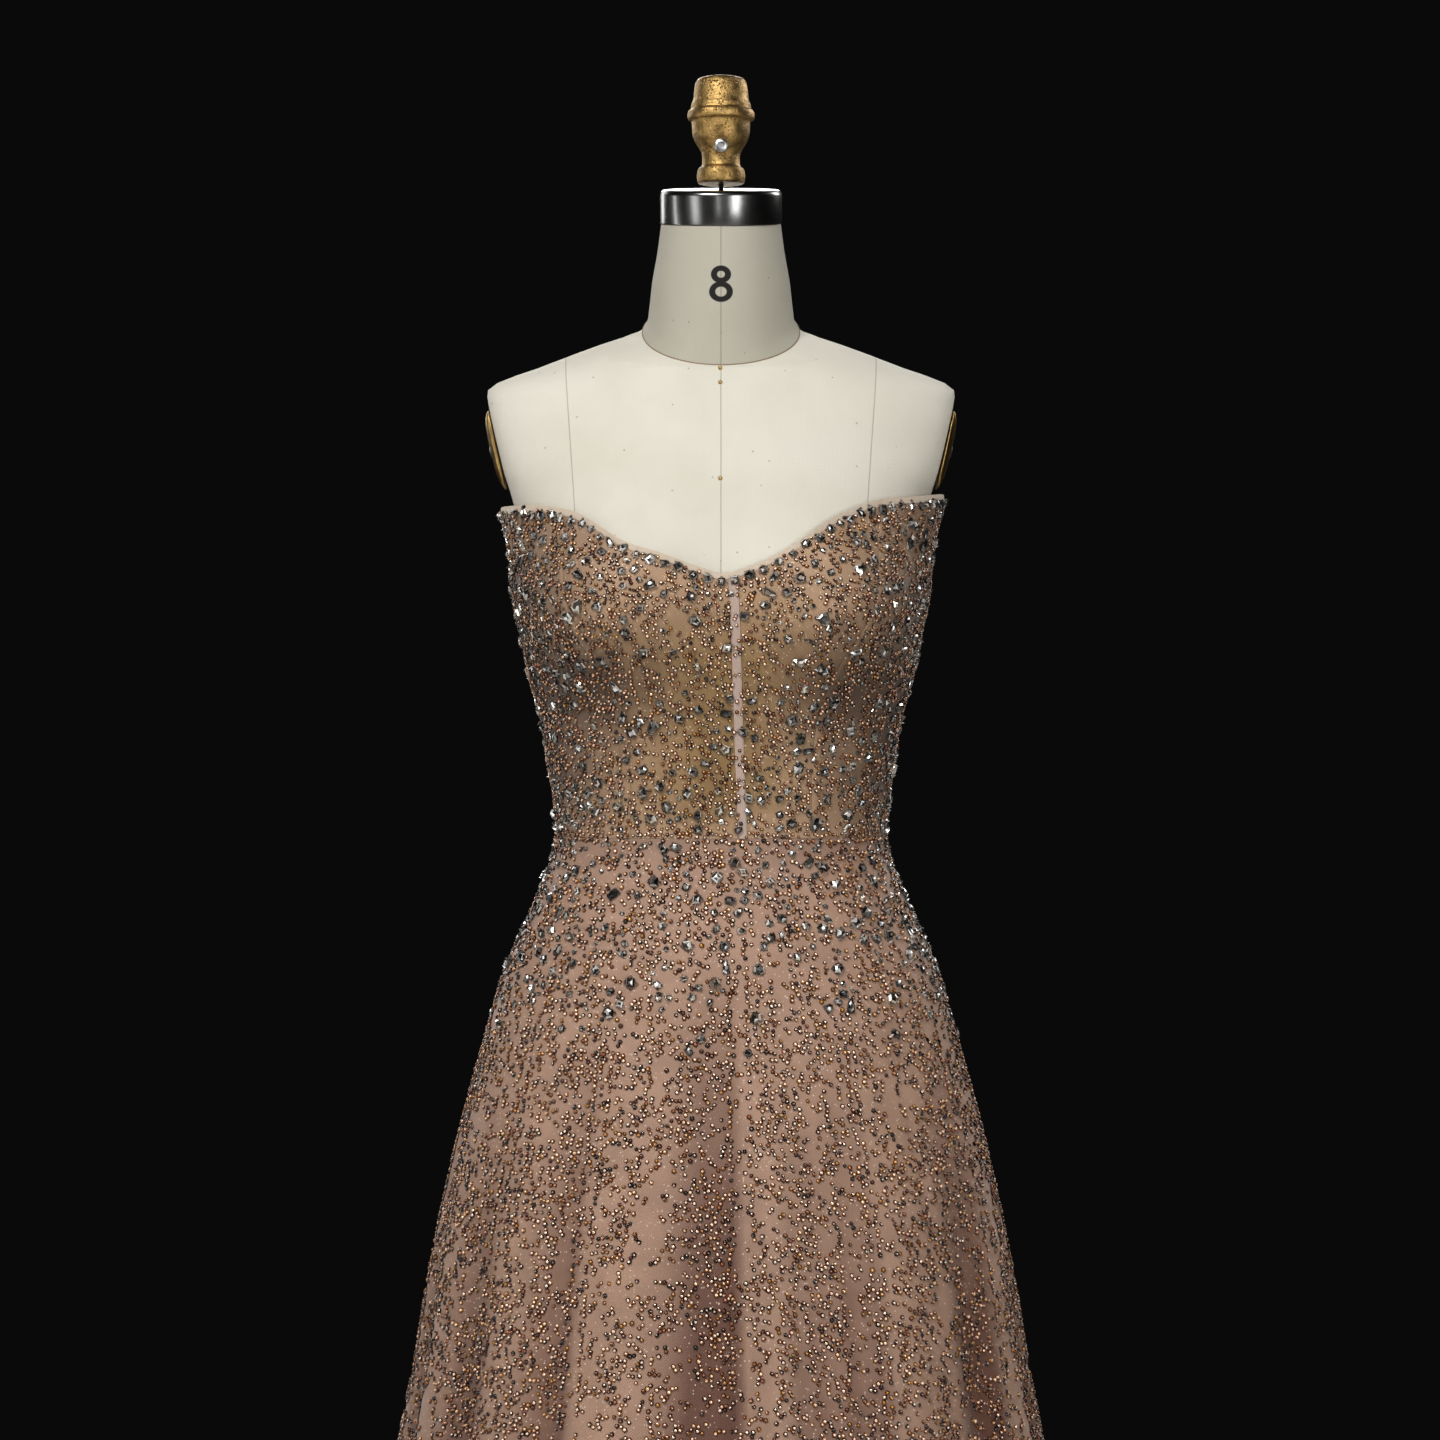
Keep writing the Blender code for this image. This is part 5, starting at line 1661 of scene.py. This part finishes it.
    def skirt_beads(self, rng: Chance, skirt: Skirt) -> tuple[Array, Array]:
        """Lays out the skirt's seed beads: short strings, thinning to the hem, and runs along folds."""
        count = 90000
        turn = rng.uniform(-179.8, 179.8, count)
        height = HEM + 0.006 + (WAIST - HEM - 0.008) * rng.uniform(0, 1, count)
        stations = (0.0, 0.22, 0.50, 0.62, 0.95, 1.02, WAIST)
        per_area = np.interp(height, stations, (0.10, 0.25, 1.5, 4.0, 4.9, 5.6, 7.0))
        per_area = per_area * self.patches(rng, turn, height)
        for fold in skirt.FOLDS:
            if fold.crest < 0:
                beside = apart(turn - fold.thread - fold.right, 1.9)
                per_area = per_area * (1.0 - 0.8 * bell(beside, 1.2))
        field_share = 359.6 * (WAIST - HEM) / count
        kept = self.first_beads(rng, skirt.point, turn, height, per_area, field_share)
        turn, height = self.arcs(rng, skirt.point, turn[kept], height[kept], (1, 3), self.skirt_bead)
        lines = []
        for fold in skirt.FOLDS:
            down = np.arange(HEM + 0.01, fold.start + 0.03, 0.0036)
            edge = fold.thread + (fold.right if fold.crest < 0 else -fold.left) * 0.85
            share = ramp(down - HEM, fold.start - HEM)
            near = rng.normal(0.0, 0.28, len(down))
            sewn = rng.uniform(0, 1, len(down)) < 0.15 + 0.60 * share
            lines.append(np.stack([edge + near, down], axis=1)[sewn])
        lined = np.concatenate(lines)
        row_turn, row_height = self.seam_row(rng, -0.0020)
        turn = np.concatenate([row_turn, lined[:, 0], turn])
        height = np.concatenate([row_height, lined[:, 1], height])
        inside = (height > HEM + 0.003) & (height < WAIST - 0.0012)
        return turn[inside], height[inside]

    def build(self, bodice: Bodice, skirt: Skirt, glass: dict[str, Material]) -> None:
        """Sews the bodice's and the skirt's stones and beads.

        Args:
            bodice: The bodice's shape.
            skirt: The skirt's shape.
            glass: The bead, stone and cup materials by name.
        """
        rng = np.random.default_rng(BEAD_SEED)
        spread = Spread(0.0110)
        stone_finish = [glass["stone"], glass["cup"]]
        turn, height, size = self.bodice_stones(rng, bodice)
        lift = bodice.lift(turn, height)
        stones = self.sew_stones(
            "stones_bodice", rng, spread, bodice.point, turn, height, size, lift, stone_finish, Slot.BODICE
        )
        turn, height, size = self.skirt_stones(rng)
        lift = np.zeros(len(turn))
        self.sew_stones(
            "stones_skirt", rng, spread, skirt.point, turn, height, size, lift, stone_finish, Slot.SKIRT
        )
        close = Spread(0.0046)
        for cell in spread.cells.values():
            for stone in cell:
                close.add(*stone)
        for name, surface, layout, radius, slot in (
            ("bodice", bodice.point, self.bodice_beads(rng, bodice, stones), self.bodice_bead, Slot.BODICE),
            ("skirt", skirt.point, self.skirt_beads(rng, skirt), self.skirt_bead, Slot.SKIRT),
        ):
            turn, height = layout
            spot = spots(surface, turn, height)
            kept = self.clear_of_zip(spot.centre)
            kept[kept] = self.keep(close, spot.centre[kept], np.full(int(kept.sum()), radius * 0.74))
            turn, height = turn[kept], height[kept]
            lift = bodice.lift(turn, height) if slot is Slot.BODICE else np.zeros(len(turn))
            bead = self.model_bead(self.bead_sides)
            self.sew_beads("beads_" + name, rng, bead, spot.pick(kept), lift, radius, glass["bead"], slot)


# The dress form and its stand


def turned(profile: Profile, steps: int, name: str) -> Object:
    """Spins a profile of radii and heights about Z into a closed shape.

    Args:
        profile: Radii and heights, from the axis at the foot to the axis at the top.
        steps: Number of sides.
        name: The object's name.

    Returns:
        The turned object.
    """
    mesh = bpy.data.meshes.new(name)
    points = [(radius, 0.0, height) for radius, height in profile]
    mesh.from_pydata(points, [(i, i + 1) for i in range(len(points) - 1)], [])
    piece = linked(name, mesh)
    activate(piece)
    bpy.ops.object.mode_set(mode="EDIT")
    bpy.ops.mesh.select_all(action="SELECT")
    bpy.ops.mesh.spin(steps=steps, angle=2 * math.pi, center=(0, 0, 0), axis=(0, 0, 1))
    deselect()
    close_up(piece)
    return piece


def rounded(profile: Profile, steps: int) -> Profile:
    """Puts a smooth curve through a profile's points, leaving its two ends on the axis."""
    table = np.array(profile)
    run = np.concatenate([[0.0], np.cumsum(np.linalg.norm(np.diff(table, axis=0), axis=1))])
    parts = [np.linspace(start, end, steps, endpoint=False) for start, end in zip(run, run[1:])]
    fine = np.concatenate(parts + [[run[-1]]])
    inner = (fine > run[1]) & (fine < run[-2])
    smooth = [
        np.where(inner, smooth_read(run, values, fine), np.interp(fine, run, values)) for values in table.T
    ]
    return tuple((max(0.0, float(radius)), float(height)) for radius, height in zip(*smooth))


@dataclass(frozen=True)
class DressForm:
    """The canvas torso and neck, with the plates on the armholes, the seams and the pins."""

    columns: int = 168
    row: float = 0.0060
    grid_top: float = 1.545
    neck_seam_height: float = 1.502
    neck_seam_rise: float = 0.50
    armhole_top: tuple[float, float] = (0.1883, 1.4528)
    armhole_foot: float = 1.356
    armhole_lean: float = 0.2250
    rim_round: float = 0.0036
    neck_lean: float = 0.0150
    neck_top: float = 1.5867
    thread_radius: float = 0.00055
    pin_heights: tuple[float, ...] = (1.4672, 1.4556, 1.3791)

    # Share of the way up, half width, half depth, tilt in degrees
    NECK = (
        (0.00, 0.0628, 0.0722, 26.565),
        (0.08, 0.0592, 0.0685, 25.0),
        (0.20, 0.0575, 0.0645, 22.5),
        (0.45, 0.0550, 0.0585, 17.5),
        (0.75, 0.0505, 0.0520, 12.5),
        (1.00, 0.0476, 0.0476, 9.5),
    )
    PLATE_SCREW = (
        (0.0, 0.0), (0.0062, 0.0), (0.0062, 0.0012), (0.0052, 0.0022), (0.0028, 0.0028), (0.0, 0.0030),
    )

    def build_torso(self, canvas: Material) -> None:
        """Builds the torso, cut at the neck seam and flat at each armhole."""
        rows = int((self.grid_top - FORM_BOTTOM) / self.row)
        height = np.linspace(FORM_BOTTOM, self.grid_top, rows + 1)[:, None]
        azimuth = np.linspace(-180.0, 180.0, self.columns + 1)[None, :]
        torso = moved_grid(self.flat_armholes(place(azimuth, torso_radius(azimuth, height), height)))
        close_up(torso, 1e-5)
        pick_faces(torso, lambda face: face.center.z > self.armhole_top[1])
        bpy.ops.mesh.bisect(
            plane_co=(0.0, 0.0, self.neck_seam_height),
            plane_no=(0.0, -self.neck_seam_rise, 1.0),
            clear_outer=True,
            use_fill=True,
        )
        deselect()
        self.close_bottom(torso)
        settle(torso, 50.0)
        own(torso, "torso_canvas", [canvas], Slot.CANVAS, ("form_torso",))

    def flat_armholes(self, points: Array) -> Array:
        """Presses the torso flat at each armhole, with a softly rounded rim.

        Args:
            points: The torso's points.

        Returns:
            The pressed points.
        """
        pressed = points.copy()
        for sign in (-1.0, 1.0):
            normal = np.array([sign, 0.0, -self.armhole_lean])
            normal /= np.linalg.norm(normal)
            edge = np.array([sign * self.armhole_top[0], 0.0, self.armhole_top[1]])
            proud = (pressed - edge) @ normal
            kept = -self.rim_round * np.logaddexp(0.0, -proud / self.rim_round)
            here = (points[..., 0] * sign > 0.14) & (points[..., 2] > self.armhole_foot - 0.012)
            pressed += (np.where(here, kept - proud, 0.0))[..., None] * normal
        return pressed

    def close_bottom(self, torso: Object) -> None:
        """Closes the torso's flat underside with a slightly raised middle."""
        activate(torso)
        bpy.ops.object.mode_set(mode="EDIT")
        bpy.ops.mesh.select_all(action="DESELECT")
        bpy.ops.mesh.select_mode(type="EDGE")
        bpy.ops.mesh.select_non_manifold()
        bpy.ops.mesh.edge_face_add()
        bpy.ops.mesh.select_mode(type="FACE")
        bpy.ops.mesh.inset(thickness=0.004, depth=0.0)
        deselect()

    def neck_ring(self, share: Array, azimuth: Array) -> Array:
        """Points of the neck's surface.

        Args:
            share: Shares of the way up from the seam to the cap.
            azimuth: Azimuths in degrees.

        Returns:
            The points.
        """
        half_width, half_depth, tilt = (read_table(self.NECK, column, share) for column in (1, 2, 3))
        foot = self.neck_seam_height + SEAM_GAP * 1.2
        middle_y = -self.neck_lean * share
        middle_z = foot + (self.neck_top - foot) * share
        turn, lean = np.radians(azimuth), np.radians(tilt)
        along = -half_depth * np.cos(turn)
        y, z = middle_y + along * np.cos(lean), middle_z + along * np.sin(lean)
        return np.stack(np.broadcast_arrays(half_width * np.sin(turn), y, z), axis=-1)

    def build_neck(self, canvas: Material) -> None:
        """Builds the neck, which leans forward from its slanted seam to the cap."""
        share = np.linspace(0.0, 1.0, 33)[:, None]
        azimuth = np.linspace(-180.0, 180.0, 109)[None, :]
        neck = moved_grid(self.neck_ring(*np.broadcast_arrays(share, azimuth)))
        close_up(neck, 1e-5)
        pick_faces(neck, lambda face: False)
        bpy.ops.mesh.select_mode(type="EDGE")
        bpy.ops.mesh.select_non_manifold()
        bpy.ops.mesh.edge_face_add()
        deselect()
        pick_faces(neck, lambda face: True)
        bpy.ops.mesh.normals_make_consistent(inside=False)
        settle(neck, 50.0)
        own(neck, "neck_canvas", [canvas], Slot.CANVAS, ("form_neck",))

    def build_seam_thread(self, thread: Material) -> None:
        """Builds the thin brown cord that covers the seam at the foot of the neck."""
        azimuth = np.linspace(-180.0, 180.0, 145)[None, :]
        ring = self.neck_ring(np.zeros((1, 145)), azimuth)[0]
        out = unit(ring - ring.mean(axis=0))
        up = np.array([0.0, -self.neck_seam_rise, 1.0]) / math.hypot(self.neck_seam_rise, 1.0)
        turn = np.linspace(0.0, 2 * math.pi, 9)[:, None, None]
        points = ring[None] + self.thread_radius * (np.cos(turn) * out[None] + np.sin(turn) * up)
        cord = moved_grid(points)
        close_up(cord)
        settle(cord, 80.0)
        own(cord, "neck_seam_piping", [thread], Slot.CANVAS)

    def build_pins(self, brass: Material) -> None:
        """Builds the round-headed pins down the centre front."""
        for number, height in enumerate(self.pin_heights):
            front = -float(torso_radius(np.array(0.0), np.array(height)))
            deselect()
            bpy.ops.mesh.primitive_uv_sphere_add(
                segments=20, ring_count=10, radius=0.0017, location=(-0.0006, front - 0.0003, height)
            )
            pin = bpy.context.object
            pin.scale = (1.0, 0.62, 1.0)
            settle(pin, 60.0)
            own(pin, f"pin_head_{number + 1}", [brass], Slot.BRASS)

    def build_plates(self, gilt: Material, zinc: Material) -> None:
        """Builds the domed armhole plates from their solids, with a screw in the middle of each."""
        for sign, side in ((-1.0, "left"), (1.0, "right")):
            plate = linked("plate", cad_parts["arm_plate_" + side].data.copy())
            close_up(plate, 1e-5)
            apply_modifier(plate, "SUBSURF", levels=1, render_levels=1)
            settle(plate, 60.0)
            own(plate, "armhole_plate_" + side, [gilt], Slot.BRASS, ("arm_plate_" + side,))
            self.build_plate_screw(side, Vector((sign, 0.0, -self.armhole_lean)).normalized(), zinc)

    def build_plate_screw(self, side: str, normal: Vector, zinc: Material) -> None:
        """Builds the slotted screw in the middle of a plate."""
        low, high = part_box("arm_plate_" + side)
        middle = (Vector(low) + Vector(high)) / 2
        screw = turned(self.PLATE_SCREW, 32, "screw")
        turn = Vector((0.0, 0.0, 1.0)).rotation_difference(normal).to_matrix().to_4x4()
        screw.matrix_world = Matrix.Translation(middle + normal * 0.0024) @ turn
        settle(screw, 35.0)
        own(screw, "plate_screw_" + side, [zinc], Slot.CHROME)


@dataclass(frozen=True)
class Hardware:
    """The chromed cap, the rod, the cast knob with its set screw, and the stand."""

    cap_radius: float = 0.0484
    cap_height: float = 0.0270
    cap_tilt: float = 9.5
    cap_round: float = 0.0042
    neck_top: float = DressForm.neck_top
    neck_lean: float = DressForm.neck_lean
    rod_radius: float = 0.0022
    rod_pitch: float = 0.0009
    screw_radius: float = 0.0056
    shank_radius: float = 0.0022
    shank_length: float = 0.0019

    KNOB = (
        (0.0, 0.0), (0.0166, 0.0), (0.0181, 0.0006), (0.0187, 0.0020), (0.0187, 0.0100), (0.0183, 0.0114),
        (0.0172, 0.0127), (0.0156, 0.0136), (0.0151, 0.0150), (0.0150, 0.0180), (0.0150, 0.0215),
        (0.0162, 0.0262), (0.0190, 0.0305), (0.0216, 0.0355), (0.0229, 0.0410), (0.0232, 0.0480),
        (0.0237, 0.0498), (0.0250, 0.0503), (0.0263, 0.0513), (0.0266, 0.0530), (0.0266, 0.0560),
        (0.0260, 0.0574), (0.0248, 0.0584), (0.0241, 0.0591), (0.0239, 0.0600), (0.0239, 0.0622),
        (0.0234, 0.0636), (0.0226, 0.0650), (0.0216, 0.0720), (0.0209, 0.0770), (0.0200, 0.0804),
        (0.0182, 0.0830), (0.0150, 0.0843), (0.0080, 0.0849), (0.0, 0.0850),
    )
    BASE = (
        (0.0, 0.0), (0.1625, 0.0), (0.1645, 0.0008), (0.1650, 0.0022), (0.1650, 0.0058), (0.1640, 0.0072),
        (0.1615, 0.0086), (0.1580, 0.0097), (0.1000, 0.0143), (0.0600, 0.0180), (0.0430, 0.0225),
        (0.0340, 0.0280), (0.0300, 0.0350), (0.0280, 0.0420), (0.0274, 0.0560), (0.0268, 0.0583),
        (0.0250, 0.0598), (0.0, 0.0600),
    )

    def cap_frame(self) -> Matrix:
        """The place and tilt of the neck cap's foot."""
        tilt = Matrix.Rotation(math.radians(self.cap_tilt), 4, "X")
        up = tilt @ Vector((0.0, 0.0, 1.0))
        return Matrix.Translation(Vector((0.0, -self.neck_lean, self.neck_top)) + up * SEAM_GAP) @ tilt

    def build_cap(self, chrome: Material) -> None:
        """Builds the chromed cap with a softly rounded rim and a slightly dished top."""
        radius, height = self.cap_radius, self.cap_height
        rim = [
            (radius - self.cap_round * (1 - math.cos(t)), height - self.cap_round * (1 - math.sin(t)))
            for t in np.linspace(0.0, math.pi / 2, 7)
        ]
        profile = (
            (0.0, 0.0), (radius - 0.0008, 0.0), (radius - 0.0002, 0.0003), (radius, 0.0009),
            *rim, (radius - 0.0100, height - 0.0002), (0.0, height - 0.0010),
        )
        cap = turned(profile, 96, "cap")
        cap.matrix_world = self.cap_frame()
        settle(cap, 40.0)
        own(cap, "chromed_neck_cap", [chrome], Slot.CHROME, ("neck_cap",))

    def build_rod(self, steel: Material) -> None:
        """Builds the thin threaded rod between the cap and the knob."""
        foot = self.cap_frame() @ Vector((0.0, 0.0, self.cap_height - 0.0010))
        length = KNOB_BOX[0][2] + 0.0004 - foot.z
        groove = self.rod_radius * 0.86
        profile = [(0.0, 0.0)]
        for number in range(int(length / self.rod_pitch)):
            base = number * self.rod_pitch
            profile += [(groove, base), (self.rod_radius, base + self.rod_pitch / 2)]
        profile += [(groove, length), (0.0, length)]
        rod = turned(tuple(profile), 24, "rod")
        rod.location = (0.0, foot.y, foot.z)
        settle(rod, 30.0)
        own(rod, "knob_rod", [steel], Slot.IRON, ("knob_stem",))

    def build_knob(self, gold: Material, zinc: Material) -> None:
        """Builds the cast knob and the set screw in its waist."""
        knob = turned(rounded(self.KNOB, 2), 64, "knob")
        middle = (Vector(KNOB_BOX[0]) + Vector(KNOB_BOX[1])) / 2
        knob.location = (0.0, middle.y, KNOB_BOX[0][2])
        settle(knob, 35.0)
        own(knob, "cast_knob", [gold], Slot.BRASS, ("neck_knob",))
        radius, shank = self.screw_radius, self.shank_length
        profile = (
            (0.0, 0.0), (self.shank_radius, 0.0), (self.shank_radius, shank), (radius, shank),
            (radius, shank + 0.0024), (radius * 0.93, shank + 0.0032), (radius * 0.72, shank + 0.0039),
            (radius * 0.5, shank + 0.0040), (radius * 0.42, shank + 0.0024), (0.0, shank + 0.0022),
        )
        screw = turned(profile, 40, "screw")
        low, high = (Vector(corner) for corner in SCREW_BOX)
        centre = (low + high) / 2
        laid = Matrix.Rotation(math.pi / 2, 4, "X")
        screw.matrix_world = Matrix.Translation((centre.x, high.y, centre.z)) @ laid
        settle(screw, 30.0)
        own(screw, "knob_set_screw", [zinc], Slot.CHROME, ("knob_screw",))

    def build_stand(self, iron: Material) -> None:
        """Builds the round base with its hub, and the pole."""
        base = turned(self.BASE, 96, "base")
        settle(base, 30.0)
        own(base, "iron_base", [iron], Slot.IRON, ("stand_base",))
        radius = (POLE_BOX[1][0] - POLE_BOX[0][0]) / 2
        foot, top = POLE_BOX[0][2], POLE_BOX[1][2]
        profile = (
            (0.0, foot), (radius, foot), (radius + 0.0022, foot + 0.0006), (radius + 0.0022, foot + 0.0100),
            (radius, foot + 0.0112), (radius, top - 0.0150), (radius + 0.0016, top - 0.0142),
            (radius + 0.0016, top), (0.0, top),
        )
        pole = turned(profile, 64, "pole")
        settle(pole, 30.0)
        own(pole, "iron_pole", [iron], Slot.IRON, ("stand_pole",))


@dataclass(frozen=True)
class Zip:
    """The zip down the centre back: its tape, its teeth, and the slider and pull from the frame."""

    half_width: float = 0.0045
    thickness: float = 0.0009
    lift: float = 0.0018
    pitch: float = 0.0015
    tooth: tuple[float, float, float] = (0.00085, 0.00042, 0.00034)

    def surface(self, bodice: Bodice, skirt: Skirt) -> Surface:
        """Gives the dress's outer face near the centre back, by azimuth and height."""

        def point(azimuth: Array, height: Array) -> Array:
            fold = skirt.fold(np.full(np.shape(height), 180.0), height)
            lower = SKIRT_LINE.radius(azimuth, height) + fold
            return place(azimuth, np.where(height >= WAIST, bodice.radius(azimuth, height), lower), height)

        return point

    def build(self, bodice: Bodice, skirt: Skirt, tape: Material, metal: Material) -> None:
        """Builds the tape and the teeth, and gives the slider and pull their metal."""
        point = self.surface(bodice, skirt)
        foot, top = ZIP_BOX[0][2], ZIP_BOX[1][2]
        height = np.linspace(foot, top, 130)[:, None]
        across = np.linspace(-1.0, 1.0, 11)[None, :]
        turns = 180.0 - np.degrees(self.half_width / ZIP_REACH) * across[:, ::-1] * np.ones_like(height)
        base = point(turns, np.broadcast_to(height, turns.shape))
        out = unit(base * (1.0, 1.0, 0.0))
        groove = 1.0 - 0.28 * np.exp(-((across / 0.18) ** 2))
        points = base + out * (self.lift * groove)[..., None]
        strip = moved_grid(points)
        close_up(strip, 1e-7)
        apply_modifier(strip, "SOLIDIFY", thickness=self.thickness, offset=-1.0)
        settle(strip, 50.0)
        own(strip, "zip_tapes", [tape], Slot.TAPE, ("zip_tape",))
        declare(strip, points)
        self.build_teeth(point, foot, metal)
        for name in ("zip_slider", "zip_pull"):
            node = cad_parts[name]
            node.data.materials.clear()
            node.data.materials.append(metal)

    def build_teeth(self, point: Surface, foot: float, metal: Material) -> None:
        """Builds the closed teeth up to the slider, set left and right in turn."""
        deselect()
        bpy.ops.mesh.primitive_cube_add(size=2.0)
        tooth = bpy.context.object
        pick_faces(tooth, lambda face: face.normal.z > 0.9)
        bpy.ops.mesh.inset(thickness=0.3, depth=0.25)
        deselect()
        shape = Beadwork().small_shape(tooth)
        height = np.arange(foot + 0.002, SLIDER_BOX[0][2] - 0.0008, self.pitch / 2)
        side = np.where(np.arange(len(height)) % 2 == 0, 1.0, -1.0) * 0.00055
        spot = spots(point, 180.0 - np.degrees(side / ZIP_REACH), height)
        size = np.tile(np.array(self.tooth), (len(height), 1))
        brass = np.tile(np.array(linear("#b9a68a")), (len(height), 1))
        rise, lean = np.full(len(height), self.lift), np.zeros(len(height))
        Beadwork().repeat("zip_teeth", shape, spot, size, rise, lean, brass, [metal], Slot.ZIP_METAL)


@dataclass(frozen=True)
class Studio:
    """Pale floor, soft lights and the camera at the photograph's angle."""

    camera_back: float = 3.0
    camera_height: float = 1.192
    frame_height: float = 1.152
    picture: int = 1440
    axis_pixel: float = 721.0
    sensor: float = 36.0
    floor_radius: float = 2.6
    backdrop: str = "#0a0a0a"

    # Name, place, what it faces, size and watts of each soft box
    LIGHTS = (
        ("key", (-1.0, -2.4, 3.6), (0.0, 0.0, 1.2), (1.5, 1.1), 91.0),
        ("front_fill", (1.6, -3.0, 1.4), (0.0, 0.0, 1.0), (0.9, 1.9), 44.0),
        ("front_strip", (-0.28, -3.4, 1.1), (0.0, 0.0, 1.1), (0.16, 1.7), 4.0),
        ("left_panel", (-2.3, -1.9, 1.1), (0.0, 0.0, 1.1), (0.7, 1.7), 12.0),
        ("left_strip", (-2.5, 0.3, 1.1), (0.0, 0.0, 1.1), (0.18, 1.7), 6.0),
        ("left_back", (-1.9, 2.6, 2.4), (0.0, 0.0, 1.0), (0.8, 1.8), 18.0),
        ("right_back", (2.3, 2.1, 2.9), (0.0, 0.0, 1.0), (1.2, 1.4), 34.0),
        ("back_fill", (-0.2, 3.1, 2.9), (0.0, 0.1, 0.8), (1.6, 0.7), 46.0),
    )

    def build(self) -> None:
        """Builds the floor, the lights, the world and the camera."""
        deselect()
        bpy.ops.mesh.primitive_circle_add(vertices=96, radius=self.floor_radius, fill_type="NGON")
        floor = bpy.context.object
        floor.name = "studio_floor"
        floor.data.materials.append(PaintedFloor().build())
        world = bpy.data.worlds.new("studio")
        bpy.context.scene.world = world
        world.use_nodes = True
        set_inputs(world.node_tree.nodes["Background"], {"Color": self.backdrop, "Strength": 1.0})
        self.light()
        self.camera()

    def light(self) -> None:
        """Adds the soft boxes."""
        for name, stand, aim, size, power in self.LIGHTS:
            deselect()
            bpy.ops.object.light_add(type="AREA", location=stand)
            lamp = bpy.context.object
            lamp.name = name
            lamp.data.shape = "RECTANGLE"
            lamp.data.size, lamp.data.size_y = size
            lamp.data.energy = power
            lamp.rotation_euler = (Vector(aim) - Vector(stand)).to_track_quat("-Z", "Y").to_euler()

    def camera(self) -> None:
        """Adds the level camera that frames the dress as the photograph does."""
        deselect()
        bpy.ops.object.camera_add(
            location=(0.0, -self.camera_back, self.camera_height), rotation=(math.pi / 2, 0.0, 0.0)
        )
        camera = bpy.context.object
        camera.data.sensor_width = self.sensor
        camera.data.lens = self.sensor * self.camera_back / self.frame_height
        camera.data.shift_x = (self.picture / 2 - self.axis_pixel) / self.picture
        bpy.context.scene.camera = camera
        bpy.context.scene.view_settings.view_transform = "Standard"


def main() -> None:
    """Builds the finishes, then every piece in order."""
    logging.basicConfig(level=logging.INFO, format="%(name)s %(message)s")
    numeral = Numeral(1.5338, 0.0062, (0.0069, 0.0060), 0.0074, (0.0055, 0.0048), 0.0043)
    # Each net's third colour is the painted shade; the skirt's second colour is painted shade in its fold
    # troughs
    bodice_net = BeadedNet(
        "copper glitter tulle over satin", "#bc997c", "#90703f", "#341f10", "#d8bca0"
    ).build()
    skirt_net = BeadedNet(
        "rose glitter tulle over satin", "#b5917a", "#5b301e", "#442416", "#d8bcaa"
    ).build()
    edging = PlainWeave("nude stretch tulle", "#cdbba6", "#bba68f", 0.0012, 0.7).build()
    boning = PlainWeave("rose satin boning tape", "#b59d90", "#a08878", 0.0010, 0.45, 0.4).build()
    zip_tape = PlainWeave("woven zip tape", "#a98370", "#8f6c5b", 0.0009, 0.7).build()
    piping = PlainWeave("brown seam piping", "#8a745c", "#6f5b47", 0.0008, 0.8).build()
    canvas = FormCanvas(
        "cotton form canvas", princess_foot=0.1140, princess_lean=0.075, princess_height=1.356
    ).build()
    # The neck's canvas is the torso's cloth painted darker, as painted shade under the high key light
    neck_canvas = FormCanvas("cotton neck canvas in painted shade", "#b6b1a1", "#9f9987", numeral=numeral).build()
    gold = WorkedMetal(
        "sand cast aged brass", "#bf9c61", "#543c1d", 0.42, 0.0011, 0.0006, 0.75, 0.2, 0.8
    ).build()
    gilt = WorkedMetal("gilt sheet brass", "#c4a266", "#7b6038", 0.30, 0.0016, 0.0002, 0.5).build()
    chrome = WorkedMetal(
        "polished chrome plate", "#80807e", "#5c5c5a", 0.24, 0.0030, 0.00002, 0.3, 0.05
    ).build()
    zinc = WorkedMetal("zinc plated steel", "#b4b4b2", "#7c7a76", 0.32, 0.0010, 0.0002, 0.6).build()
    steel = WorkedMetal("dark oiled steel", "#5a5651", "#2c2a27", 0.35, 0.0010, 0.0002, 0.5).build()
    iron = WorkedMetal("black enamelled iron", "#1c1c1c", "#2a2a29", 0.38, 0.0009, 0.0002, 0.5).build()
    zip_metal = WorkedMetal("antique brass zip metal", "#a98a5a", "#5f4a2c", 0.30, 0.0008, 0.0001).build()
    glass = {
        "bead": BeadGlass("metal lined seed bead glass", 0.40, 0.22, 0.35).build(),
        "stone": BeadGlass("foil backed smoky glass", 0.45, 0.10, 1.0).build(),
        "cup": WorkedMetal("antique silver stone cup", "#4a4540", "#26221f", 0.4, 0.0006, 0.0001).build(),
    }
    form = DressForm()
    form.build_torso(canvas)
    form.build_neck(neck_canvas)
    form.build_seam_thread(piping)
    form.build_pins(gilt)
    form.build_plates(gilt, zinc)
    log.info("dress form built")
    hardware = Hardware()
    hardware.build_cap(chrome)
    hardware.build_rod(steel)
    hardware.build_knob(gold, zinc)
    hardware.build_stand(iron)
    log.info("hardware built")
    bodice, skirt = Bodice(), Skirt()
    bodice.build_panels(bodice_net)
    bodice.build_channels(boning, bodice_net)
    bodice.build_edging(edging)
    skirt.build(skirt_net)
    log.info("cloth built")
    Zip().build(bodice, skirt, zip_tape, zip_metal)
    Beadwork().build(bodice, skirt, glass)
    log.info("beadwork built")
    Studio().build()


if __name__ == "__main__":
    main()
